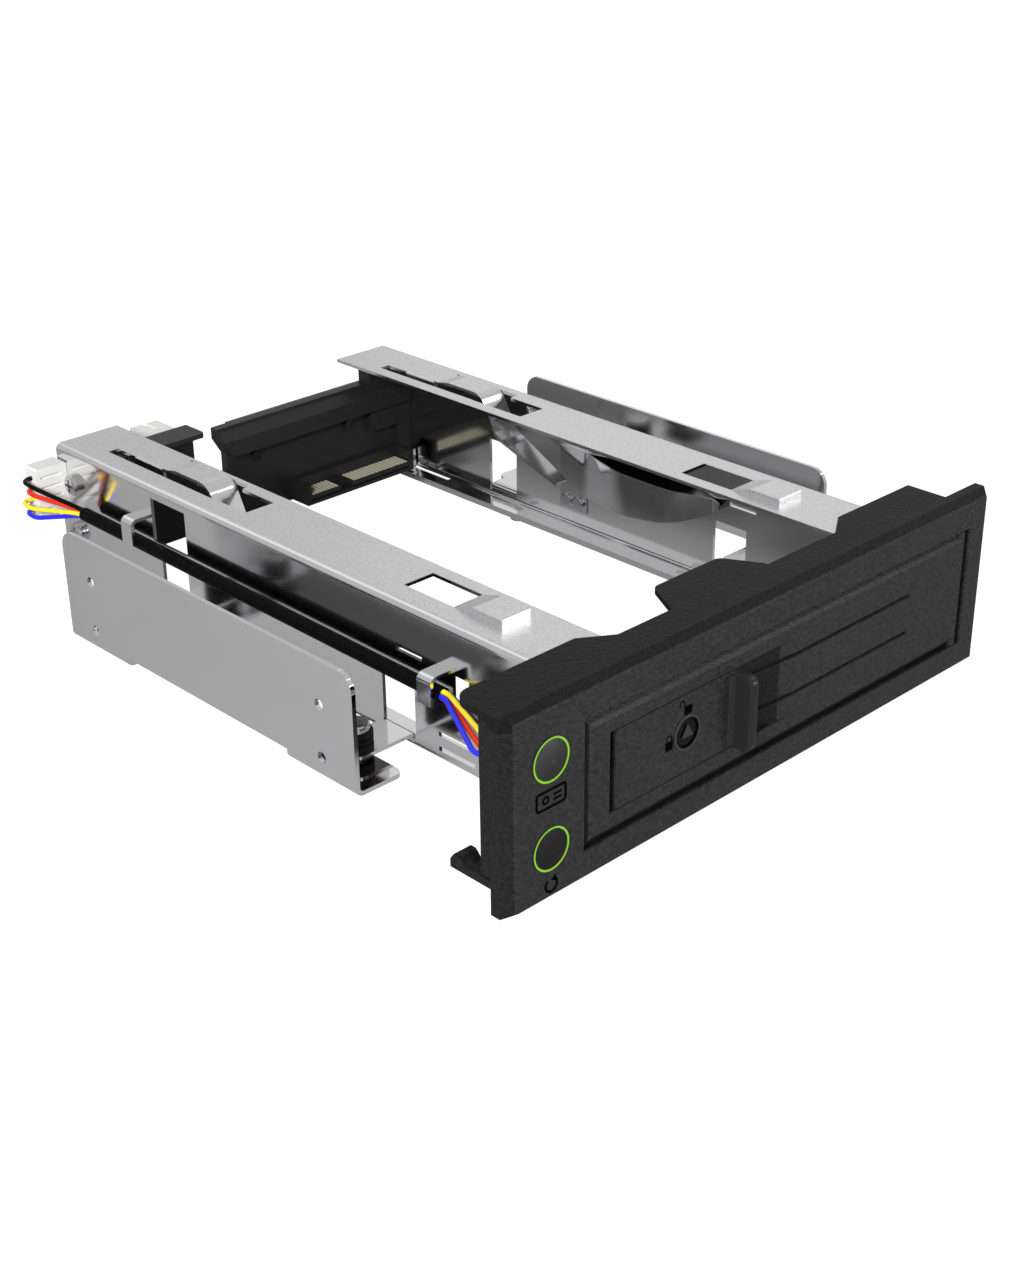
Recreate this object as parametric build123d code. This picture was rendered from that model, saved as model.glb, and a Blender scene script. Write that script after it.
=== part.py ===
from build123d import *
import math
import os

# Hot swap cage for one 3.5 inch drive in a 5.25 inch half height bay.
# Millimetres. X is right as seen from the front, Y runs to the rear and Z is up.
# The sizes below are written with Y = 0 at the shoulder behind the bezel and Z = 0 at
# the bezel's bottom edge. Everything is moved at the end, so that the origin lies at
# the middle of the footprint.

# Bay standard
BODY_WIDTH = 146.05
SIDE_HOLE_PITCH = 79.25
SIDE_HOLE_ROW_PITCH = 11.84
SIDE_HOLE_RADIUS = 1.25
FRONT_HOLE_Y = 49.2
LOWER_HOLE_Z = 12.6

# Drive standard
DRIVE_WIDTH = 101.6
DRIVE_SIDE_PLAY = 0.45

# Clearances
RUNNING = 0.05
SEAT = 0.01
FACE_GAP = 0.3

# Bezel
BEZEL_WIDTH = 148.5
BEZEL_HEIGHT = 41.9
BEZEL_DEPTH = 4.8
BEZEL_BEVEL_SIDE = 2.3
BEZEL_BEVEL_RISE = 1.4
BEZEL_BEVEL_DEPTH = 2.45
BEZEL_SKIN = 2.2
BEZEL_RIM = 2.0
SKIRT_INSET = 1.45
SKIRT_WALL = 1.6
SKIRT_DEPTH = 4.0
SKIRT_FOOT = 6.5

# Door opening and the jamb that frames it
OPENING_LEFT = -54.75
OPENING_RIGHT = 66.7
OPENING_BOTTOM = 6.8
OPENING_TOP = 34.9
JAMB_WALL = 2.0
JAMB_REACH = 4.0
CATCH_LAND = 0.4
CATCH_HEIGHT = 8.0

# Hood and tongue over the top of the cage
HOOD_DROP = 0.5
HOOD_THICKNESS = 1.4
HOOD_LEFT = -73.4
HOOD_RIGHT = 64.0
HOOD_REACH = 10.5
HOOD_WAIST = 5.9
HOOD_WAIST_CENTRE = -1.5
HOOD_WAIST_HALF = 33.3
HOOD_RAMP = 7.0
HOOD_CORNER = 4.0
TONGUE_CENTRE = -1.4
TONGUE_ROOT_HALF = 14.6
TONGUE_TIP_HALF = 9.9
TONGUE_REACH = 18.1
TONGUE_THICKNESS = 1.2
TONGUE_DROP = 2.6
TONGUE_CORNER = 2.2

# Door
DOOR_GAP = 0.35
DOOR_THICKNESS = 3.0
DOOR_BEVEL_WIDTH = 2.1
DOOR_BEVEL_DEPTH = 1.2
HINGE_INSET = 2.1
HINGE_DEPTH = 2.0
HINGE_BARREL = 1.95
HINGE_PIN_RADIUS = 0.9
HINGE_PIN_IN_DOOR = 5.0
RIB_WIDTH = 1.6
RIB_DEPTH = 12.7
BUMPER_DEPTH = 3.0
BUMPER_WIDTH = 5.0
GROOVE_WIDTH = 1.0
GROOVE_DEPTH = 0.6
GROOVE_END = 45.3
GROOVE_SPREAD = 8.8

# Latch lever
LEVER_LEFT = -46.3
LEVER_RIGHT = -10.9
LEVER_BOTTOM = 12.5
LEVER_TOP = 29.5
LEVER_THICKNESS = 2.1
LEVER_SIDE_GAP = 0.3
LEVER_LEFT_GAP = 1.7
LEVER_PIVOT_INSET = 1.7
LEVER_PIVOT_DEPTH = 1.9
LEVER_PIN_RADIUS = 0.7
LEVER_PIN_REACH = 2.6
GRIP_WIDTH = 2.4
GRIP_PROUD = 5.0
GRIP_ROUND = 2.3
GRIP_EDGE = 0.7
GRIP_FILLET = 0.8
SCOOP_RIGHT = 6.5
SCOOP_DEPTH = 1.9
HOOK_THICKNESS = 1.8
HOOK_HEIGHT = 7.0

# Lock
LOCK_X = -26.4
LOCK_Z = 21.1
LOCK_RADIUS = 3.9
LOCK_BARREL_RADIUS = 2.6
LOCK_HEAD_DEPTH = 1.0
LOCK_PROUD = 0.25
LOCK_GROOVE_OUTER = 3.25
LOCK_GROOVE_INNER = 2.7
POINTER_TOP = 2.0
POINTER_FOOT = 0.85
POINTER_HALF = 1.6
CAM_LENGTH = 8.3
CAM_WIDTH = 4.0
CAM_THICKNESS = 1.0
CAM_SCREW_RADIUS = 1.7
CAM_SHANK_RADIUS = 0.9
CAM_SHANK_DEPTH = 2.4

# Push buttons with light rings
BUTTON_X = -63.4
BUTTON_HEIGHTS = {"upper": 30.4, "lower": 11.6}
BUTTON_RADIUS = 4.1
BUTTON_CROWN = 0.55
BUTTON_FLANGE = 5.0
BUTTON_STEM_RADIUS = 1.4
BUTTON_TRAVEL = 1.2
RING_OUTER = 4.75
RING_BORE = 4.2
RING_PROUD = 0.12
RING_FLANGE = 5.5
BOARD_FRONT = 5.0
BOARD_THICKNESS = 1.2
BOARD_LEFT = -70.4
BOARD_RIGHT = -59.9
BOARD_FOOT = 6.3
BOARD_DROP = 5.5
SWITCH_SIZE = 6.0
SWITCH_DEPTH = 3.2
BOARD_BOSSES = ((-67.7, 22.8), (-64.2, 18.9))
BOARD_BOSS_RADIUS = 1.6
BOARD_SCREW_RADIUS = 0.8

# Sheet steel channels
STEEL = 0.8
BEND = 1.6
CHANNEL_REAR = 172.5
CHANNEL_FRONT = 8.0
RAIL_FRONT = 3.0
RAIL_TOP = 39.5
RAIL_INNER = 34.7
CHANNEL_BOTTOM = 7.7
LEDGE_INNER = 45.5
LEDGE_RELIEF = (155.4, 156.4)
WINDOW_TOP = 23.6
WINDOW_LENGTH = 9.9
FRONT_WINDOW_Y = 49.9
REAR_WINDOW_Y = 126.4
SHELF_TOP = 11.4
SHELF_MARGIN = 3.2
RAIL_WINDOW_X = 42.0
RAIL_WINDOW_WIDTH = 7.9
RAIL_WINDOW_REAR = 54.1
RAIL_WINDOW_FRONT = 39.4
PAD_FRONT = 25.8
PAD_REAR = 33.9
PAD_RISE = 1.7
PAD_WALL = 0.5
EAR_BOTTOM = 14.5
EAR_TOP = {"left": 27.5, "right": 35.0}
EAR_SCREWS = {"left": (17.8, 24.2), "right": (17.5, 32.0)}
EAR_SCREW_OFFSET = 3.7
EAR_SCREW_RADIUS = 1.0
EAR_MARGIN = 2.2

# Hold-down springs and the bridges that keep them
SPRING_X = {"left": -39.8, "right": 44.6}
SPRING_WIDTH = 7.2
SPRING_STEEL = 0.5
SPRING_SLOT_FRONT = 106.4
BRIDGE_FRONT = 139.9
BRIDGE_REAR = 157.0
BRIDGE_RAMP = 5.0
BRIDGE_SKIRT = 2.6
SPRING_TIP_Y = 99.0
SPRING_TIP_Z = 22.4
SPRING_BEND_Y = 123.8
SPRING_KNEE_Y = 119.0
SPRING_KNEE_Z = 33.4

# Side springs
SIDE_SPRING_REAR = 105.0
SIDE_SPRING_FRONT = 52.0
SIDE_SPRING_BOW = 4.2
SIDE_SPRING_TOP = 29.0
SIDE_SPRING_BOTTOM = 12.8
SIDE_RIVET_Z = 14.9
SIDE_SPRING_STEEL = 0.4
SIDE_SPRING_FOOT = 9.0
SIDE_SPRING_TAPER = ((0.0, 11.7), (0.26, 10.9), (0.5, 9.8), (0.74, 7.6), (0.87, 5.1), (1.0, 1.6))
SIDE_SLOT = (42.4, 50.2, 28.5, 29.5)
RIVET_RADIUS = 1.1
RIVET_HEAD = 1.9

# Mounting brackets and dampers
BRACKET_STEEL = 1.0
BRACKET_FRONT = 38.9
BRACKET_REAR = 138.5
BRACKET_TOP = 34.3
BRACKET_FOOT = 7.6
BRACKET_EDGE = 10.0
FOOT_LENGTH = 21.6
FOOT_MARGIN = 2.875
DAMPER_SHARE = 0.5554
POST_RADIUS = 1.5
POST_HEAD_RADIUS = 3.0
POST_HEAD = 1.4
GROMMET_RADIUS = 3.6
GROMMET_NECK = 2.4
GROMMET_TOP = 15.2

# Rear bracket, receptacle and board
BLOCK_FRONT = 162.6
BLOCK_INNER = 37.3
REAR_BRACKET_BACK = 172.0
BEAM_FRONT = 161.6
BEAM_BOTTOM = 26.8
BEAM_TOP = 34.0
BEAM_EDGE = 31.1
BEAM_RIDGE = 165.9
BEAM_END = ((-8.7, 26.8), (-11.2, 31.1))
NOTCH_LEFT = -20.4
NOTCH_BOTTOM = 21.0
GUSSETS = (0.0, 30.0)
BACK_WALL_FRONT = 164.5
BACK_WALL = 2.5
TAB_INNER = 21.0
TAB_FRONT = 155.4
TAB_REAR = 163.2
TAB_WALL = 2.5
BRACKET_HEAD = 38.4
SCREW_Y = 165.8
SCREW_HEIGHTS = (18.8, 31.0)
SCREW_RADIUS = 1.45
SCREW_HEAD_RADIUS = 2.6
SCREW_HEAD = 1.7
CONTACT_PITCH = 1.27
POWER_CONTACTS = 15
DATA_CONTACTS = 7
POWER_END = 45.6
KEY_GAP = 6.35
RECEPTACLE_FRONT = 157.6
RECEPTACLE_BASE = 8.8
RECEPTACLE_FLOOR = 1.6
RECEPTACLE_HEIGHT = 5.6
CONTACT_TONGUE = 1.2
MAIN_BOARD_THICKNESS = 1.6
MAIN_BOARD_BOTTOM = 8.8
BOARD_NOTCH_RIGHT = -5.6
MAIN_BOARD_TOP = 33.6
PORT_DEPTH = 5.2
PORT_HEIGHT = 6.4
PORT_WALL = 1.1
HEADER_LEFT = -33.0
HEADER_WIDTH = 12.4
HEADER_TOP = 36.0
HEADER_HEIGHT = 9.6
REAR_REACH = 176.6
HEADER_FRONT = 168.9
PORT_FLOOR = 10.0
DATA_PORT_X = -14.0
POWER_PORT_X = 14.0
BOARD_SCREWS = ((-42.0, 14.0), (-42.0, 31.0), (42.0, 31.0), (0.0, 31.0))

# Ejector
EJECTOR_STEEL = 0.8
EJECTOR_GAP = 0.2
EJECTOR_INNER = 45.9
EJECTOR_OUTER = 51.0
EJECTOR_TRAVEL = 13.8
CRANK_RADIUS = 9.0
CRANK_ANGLE = 130.0
CRANK_PIN_RADIUS = 1.2
CRANK_BOTTOM = 10.2
CRANK_THICKNESS = 2.0
CRANK_ARM_RADIUS = 2.0
SLOT_PLAY = 0.55
ARM_Z = 8.4
ARM_LEFT = 52.4
ARM_RIGHT = 61.4
ARM_CUT = 2.1
LUG_INNER = 48.1
LUG_OUTER = 50.8
LUG_TOP = 13.0
EJECTOR_RIVETS = (62.0, 118.0)
EJECTOR_RIVET_RADIUS = 1.25

# Harness
SLEEVE_X = -54.9
SLEEVE_RADIUS = 1.6
SLEEVE_BORE = 1.36
SLEEVE_REAR = (158.0, 26.5)
SLEEVE_FRONT = (33.0, 25.7)
WIRE_RADIUS = 0.54
CLIP_WIDTH = 4.0
CLIP_HEIGHT = 6.3
CLIPS = ((136.6, 32.5), (36.0, 29.8))
CLIP_WINDOWS = ((121.0, 134.0, 26.2, 36.8), (28.8, 33.4, 22.6, 29.0))
WIRE_ANGLES = {"black": 90, "red": 0, "yellow": 180, "blue": 270}
WIRE_LAY = 0.8
WIRE_TWIST = -90.0
WIRE_STEPS = 4
WIRE_SWING = {"black": (2.5, 166.6), "red": (1.8, 168.0), "yellow": (3.2, 167.0), "blue": (2.5, 167.0)}
WIRE_BENDS = [1.8, 3.0, 4.0] + [20.0] * (WIRE_STEPS - 1) + [5.0, 3.5]
PLUG_FRONT = 168.7
PLUG_DEPTH = 4.9
PLUG_WIDTH = 8.2
PLUG_TOP = 36.0
PLUG_HEIGHT = 12.6
WIRE_HEIGHTS = {"black": 33.4, "red": 30.8, "yellow": 28.2, "blue": 25.6}
WIRE_LANDINGS = {"black": (-62.0, 27.6), "red": (-63.4, 25.2), "yellow": (-64.0, 29.3), "blue": (-66.0, 26.0)}

# Derived values
FACE_Y = -BEZEL_DEPTH
SKIN_BACK = FACE_Y + BEZEL_SKIN
DOOR_LEFT = OPENING_LEFT + DOOR_GAP
DOOR_RIGHT = OPENING_RIGHT - DOOR_GAP
DOOR_BOTTOM = OPENING_BOTTOM + DOOR_GAP
DOOR_TOP = OPENING_TOP - DOOR_GAP
DOOR_BACK = FACE_Y + DOOR_THICKNESS
HINGE_X = DOOR_RIGHT - HINGE_INSET
HINGE_Y = FACE_Y + HINGE_DEPTH
LEVER_PIVOT_X = LEVER_LEFT + LEVER_PIVOT_INSET
LEVER_PIVOT_Y = FACE_Y + LEVER_PIVOT_DEPTH
CHANNEL_INSIDE = DRIVE_WIDTH / 2 + DRIVE_SIDE_PLAY
CHANNEL_OUTSIDE = CHANNEL_INSIDE + STEEL
BRACKET_OUTSIDE = BODY_WIDTH / 2
DAMPER_X = CHANNEL_OUTSIDE + DAMPER_SHARE * (BRACKET_OUTSIDE - CHANNEL_OUTSIDE)
SHELF_END = DAMPER_X + SHELF_MARGIN
FOOT_WIDTH = BRACKET_OUTSIDE - DAMPER_X + FOOT_MARGIN
MIDDLE_Y = (REAR_REACH - BEZEL_DEPTH - GRIP_PROUD) / 2
CRANK_X = HINGE_X + CRANK_RADIUS * math.cos(math.radians(CRANK_ANGLE))
CRANK_Y = HINGE_Y + CRANK_RADIUS * math.sin(math.radians(CRANK_ANGLE))
BACK_WALL_REAR = BACK_WALL_FRONT + BACK_WALL
BOARD_REAR = BACK_WALL_REAR + MAIN_BOARD_THICKNESS
LOCK_BACK = FACE_Y + LEVER_THICKNESS
EAR_Y = CHANNEL_FRONT


def block(x0, x1, y0, y1, z0, z1):
    """A box between two corners."""
    size = (x1 - x0, y1 - y0, z1 - z0)
    centre = ((x0 + x1) / 2, (y0 + y1) / 2, (z0 + z1) / 2)
    return Pos(*centre) * Box(*size)


def front_plane(x, y, z):
    """A drawing plane that looks out of the front, with its X to the right and Y up."""
    return Plane(origin=(x, y, z), x_dir=(1, 0, 0), z_dir=(0, -1, 0))


def side_plane(x, y=0.0, z=0.0):
    """A drawing plane that looks to the right, with its X to the rear and Y up."""
    return Plane(origin=(x, y, z), x_dir=(0, 1, 0), z_dir=(1, 0, 0))


def rod_y(x, z, y0, y1, radius):
    """A cylinder along Y."""
    return extrude(front_plane(x, y1, z) * Circle(radius), amount=y1 - y0)


def rod_z(x, y, z0, z1, radius):
    """A cylinder along Z."""
    return extrude(Plane(origin=(x, y, z0)) * Circle(radius), amount=z1 - z0)


def rod_x(y, z, x0, x1, radius):
    """A cylinder along X."""
    return extrude(side_plane(x0, y, z) * Circle(radius), amount=x1 - x0)


def bevelled_plate(x0, x1, z0, z1, y_back, bevel_x, bevel_z, bevel_y):
    """A plate whose front face is smaller than its back, with sloping edges."""
    y_bevel = FACE_Y + bevel_y
    centre_x = (x0 + x1) / 2
    centre_z = (z0 + z1) / 2
    wide = front_plane(centre_x, y_bevel, centre_z) * Rectangle(x1 - x0, z1 - z0)
    narrow_size = (x1 - x0 - 2 * bevel_x, z1 - z0 - 2 * bevel_z)
    narrow = front_plane(centre_x, FACE_Y, centre_z) * Rectangle(*narrow_size)
    return block(x0, x1, y_bevel, y_back, z0, z1) + loft([wide.face(), narrow.face()])


def hood_outline():
    """The hood seen from above: full reach over the rails and a waist between them."""
    ramp = HOOD_WAIST_HALF + HOOD_RAMP
    points = [
        (HOOD_LEFT, -1.0),
        (HOOD_RIGHT, -1.0),
        (HOOD_RIGHT, HOOD_REACH),
        (HOOD_WAIST_CENTRE + ramp, HOOD_REACH),
        (HOOD_WAIST_CENTRE + HOOD_WAIST_HALF, HOOD_WAIST),
        (HOOD_WAIST_CENTRE - HOOD_WAIST_HALF, HOOD_WAIST),
        (HOOD_WAIST_CENTRE - ramp, HOOD_REACH),
        (HOOD_LEFT, HOOD_REACH),
    ]
    outline = make_face(Polyline(*points, close=True))
    corner = outline.vertices().sort_by(Axis.X)[0:2].sort_by(Axis.Y)[-1]
    return fillet(corner, HOOD_CORNER)


def tongue_outline():
    """The thin stop tongue behind the hood, with round free corners."""
    points = [
        (TONGUE_CENTRE - TONGUE_ROOT_HALF, -1.0),
        (TONGUE_CENTRE + TONGUE_ROOT_HALF, -1.0),
        (TONGUE_CENTRE + TONGUE_ROOT_HALF, HOOD_REACH - 1.0),
        (TONGUE_CENTRE + TONGUE_TIP_HALF, TONGUE_REACH),
        (TONGUE_CENTRE - TONGUE_TIP_HALF, TONGUE_REACH),
        (TONGUE_CENTRE - TONGUE_ROOT_HALF, HOOD_REACH - 1.0),
    ]
    outline = make_face(Polyline(*points, close=True))
    return fillet(outline.vertices().sort_by(Axis.Y)[-2:], TONGUE_CORNER)


def snap_foot(side):
    """A barbed foot that clips the bezel to the bay's floor edge."""
    x_out = BEZEL_WIDTH / 2 - SKIRT_INSET
    points = [(-1.0, 4.2), (12.4, 4.2), (12.4, 6.0), (11.4, 7.4), (10.0, 7.4), (8.6, 5.9), (-1.0, 5.9)]
    arm = extrude(side_plane(x_out - 4.4) * make_face(Polyline(*points, close=True)), amount=4.4)
    return arm if side > 0 else mirror(arm, about=Plane.YZ)


def bezel_frame():
    """The front moulding: bevelled face, door jamb, rear skirt, hood, tongue and feet."""
    half = BEZEL_WIDTH / 2
    bevel = (BEZEL_BEVEL_SIDE, BEZEL_BEVEL_RISE, BEZEL_BEVEL_DEPTH)
    frame = bevelled_plate(-half, half, 0.0, BEZEL_HEIGHT, 0.0, *bevel)
    frame -= block(-half + BEZEL_RIM, half - BEZEL_RIM, SKIN_BACK, 1.0, BEZEL_RIM, BEZEL_HEIGHT - BEZEL_RIM)

    jamb_left = OPENING_LEFT - JAMB_WALL
    jamb_right = OPENING_RIGHT + JAMB_WALL
    jamb_bottom = OPENING_BOTTOM - JAMB_WALL
    jamb_top = OPENING_TOP + JAMB_WALL
    frame += block(jamb_left, jamb_right, SKIN_BACK - 0.5, JAMB_REACH, jamb_bottom, jamb_top)

    hood_top = BEZEL_HEIGHT - HOOD_DROP
    hood = extrude(Pos(0, 0, hood_top - HOOD_THICKNESS) * hood_outline(), amount=HOOD_THICKNESS)
    tongue_top = BEZEL_HEIGHT - TONGUE_DROP
    tongue_floor = tongue_top - TONGUE_THICKNESS
    tongue = extrude(Pos(0, 0, tongue_floor) * tongue_outline(), amount=TONGUE_THICKNESS)
    root_half = TONGUE_ROOT_HALF
    root = block(TONGUE_CENTRE - root_half, TONGUE_CENTRE + root_half, -1.0, HOOD_WAIST, tongue_floor, hood_top)
    frame += hood + tongue + root

    for side in (-1, 1):
        outer = side * (half - SKIRT_INSET)
        inner = side * (half - SKIRT_INSET - SKIRT_WALL)
        low = min(outer, inner)
        high = max(outer, inner)
        skirt_top = hood_top - 0.2 if side < 0 else hood_top - 4.0
        frame += block(low, high, -1.0, SKIRT_DEPTH, SKIRT_FOOT, skirt_top)
        frame += snap_foot(side)
        frame += block(low, high, -1.0, 0.5, 4.2, SKIRT_FOOT)
        for z in EAR_SCREWS[side_name(side)]:
            frame += rod_y(ear_screw_x(side), z, SKIN_BACK - 0.5, EAR_Y, 2.1)

    for x, z in BOARD_BOSSES:
        frame += rod_y(x, z, SKIN_BACK - 0.5, BOARD_FRONT, BOARD_BOSS_RADIUS)
        frame -= rod_y(x, z, 0.0, BOARD_FRONT + 1.0, BOARD_SCREW_RADIUS + SEAT)

    frame -= block(OPENING_LEFT, OPENING_RIGHT, FACE_Y - 1.0, JAMB_REACH + 1.0, OPENING_BOTTOM, OPENING_TOP)
    catch_z = (LEVER_BOTTOM + LEVER_TOP) / 2
    catch_low = catch_z - CATCH_HEIGHT / 2
    frame -= block(jamb_left - 1.0, OPENING_LEFT + 1.0, CATCH_LAND, JAMB_REACH + 1.0, catch_low, catch_low + CATCH_HEIGHT)
    frame -= rod_z(HINGE_X, HINGE_Y, jamb_bottom, jamb_top, HINGE_PIN_RADIUS + SEAT)
    for z in BUTTON_HEIGHTS.values():
        frame -= rod_y(BUTTON_X, z, FACE_Y - 1.0, SKIN_BACK + 1.0, RING_OUTER + SEAT)
    for side in (-1, 1):
        for z in EAR_SCREWS[side_name(side)]:
            frame -= rod_y(ear_screw_x(side), z, EAR_Y - 7.0, EAR_Y + 1.0, EAR_SCREW_RADIUS + SEAT)
    return frame


def side_name(side):
    return "left" if side < 0 else "right"


def ear_screw_x(side):
    """Where the front screws stand, beside the jamb on each side."""
    if side < 0:
        return OPENING_LEFT - EAR_SCREW_OFFSET
    return OPENING_RIGHT + EAR_SCREW_OFFSET


def light_ring(z):
    """A clear ring pressed into the bezel, with a flange behind the skin."""
    ring = rod_y(BUTTON_X, z, FACE_Y - RING_PROUD, SKIN_BACK + 0.9, RING_OUTER)
    ring += rod_y(BUTTON_X, z, SKIN_BACK, SKIN_BACK + 0.9, RING_FLANGE)
    return ring - rod_y(BUTTON_X, z, FACE_Y - 1.0, SKIN_BACK + 2.0, RING_BORE)


def push_button(z):
    """A crowned cap with a keeper flange and a stem that enters its switch."""
    flange_front = SKIN_BACK + 0.9 + 0.1
    crown = (BUTTON_RADIUS ** 2 + BUTTON_CROWN ** 2) / (2 * BUTTON_CROWN)
    rim = FACE_Y - RING_PROUD
    stem_end = BOARD_FRONT - SWITCH_DEPTH + 0.4
    profile = make_face(
        Line((0, -rim + BUTTON_CROWN), (0, -stem_end))
        + Line((0, -stem_end), (BUTTON_STEM_RADIUS, -stem_end))
        + Line((BUTTON_STEM_RADIUS, -stem_end), (BUTTON_STEM_RADIUS, -flange_front - 0.8))
        + Line((BUTTON_STEM_RADIUS, -flange_front - 0.8), (BUTTON_FLANGE, -flange_front - 0.8))
        + Line((BUTTON_FLANGE, -flange_front - 0.8), (BUTTON_FLANGE, -flange_front))
        + Line((BUTTON_FLANGE, -flange_front), (BUTTON_RADIUS, -flange_front))
        + Line((BUTTON_RADIUS, -flange_front), (BUTTON_RADIUS, -rim))
        + RadiusArc((BUTTON_RADIUS, -rim), (0, -rim + BUTTON_CROWN), -crown)
    )
    turned = revolve(profile, Axis.Y)
    return Pos(BUTTON_X, 0, z) * Rot(X=180) * turned


def button_board():
    board = block(BOARD_LEFT, BOARD_RIGHT, BOARD_FRONT, BOARD_FRONT + BOARD_THICKNESS, BOARD_FOOT, BEZEL_HEIGHT - BOARD_DROP)
    notch_low = EAR_SCREWS["left"][0] - 2.6
    notch_high = EAR_SCREWS["left"][1] + 2.6
    notch_left = ear_screw_x(-1) - 2.3
    board -= block(notch_left, BOARD_RIGHT + 1.0, BOARD_FRONT - 1.0, BOARD_FRONT + 2.0, notch_low, notch_high)
    for x, z in BOARD_BOSSES:
        board -= rod_y(x, z, BOARD_FRONT - 1.0, BOARD_FRONT + 2.0, BOARD_SCREW_RADIUS + 0.1)
    for x, z in WIRE_LANDINGS.values():
        board -= rod_y(x, z, BOARD_FRONT - 1.0, BOARD_FRONT + 2.0, WIRE_RADIUS + SEAT)
    return board


def button_switches():
    """Two push switches, each with a well that the button's stem enters."""
    made = []
    front = BOARD_FRONT - SWITCH_DEPTH
    half = SWITCH_SIZE / 2
    for z in BUTTON_HEIGHTS.values():
        body = block(BUTTON_X - half, BUTTON_X + half, front, BOARD_FRONT, z - half, z + half)
        body -= rod_y(BUTTON_X, z, front - 0.1, front + 0.5 + BUTTON_TRAVEL + 0.3, BUTTON_STEM_RADIUS + RUNNING)
        made.append(body)
    return made


def board_screws():
    made = []
    back = BOARD_FRONT + BOARD_THICKNESS
    for x, z in BOARD_BOSSES:
        screw = rod_y(x, z, 0.6, back + 0.5, BOARD_SCREW_RADIUS)
        head = rod_y(x, z, back, back + 1.1, 1.6)
        made.append(screw + fillet(head.edges().sort_by(Axis.Y)[-1], 0.4))
    return made


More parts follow.
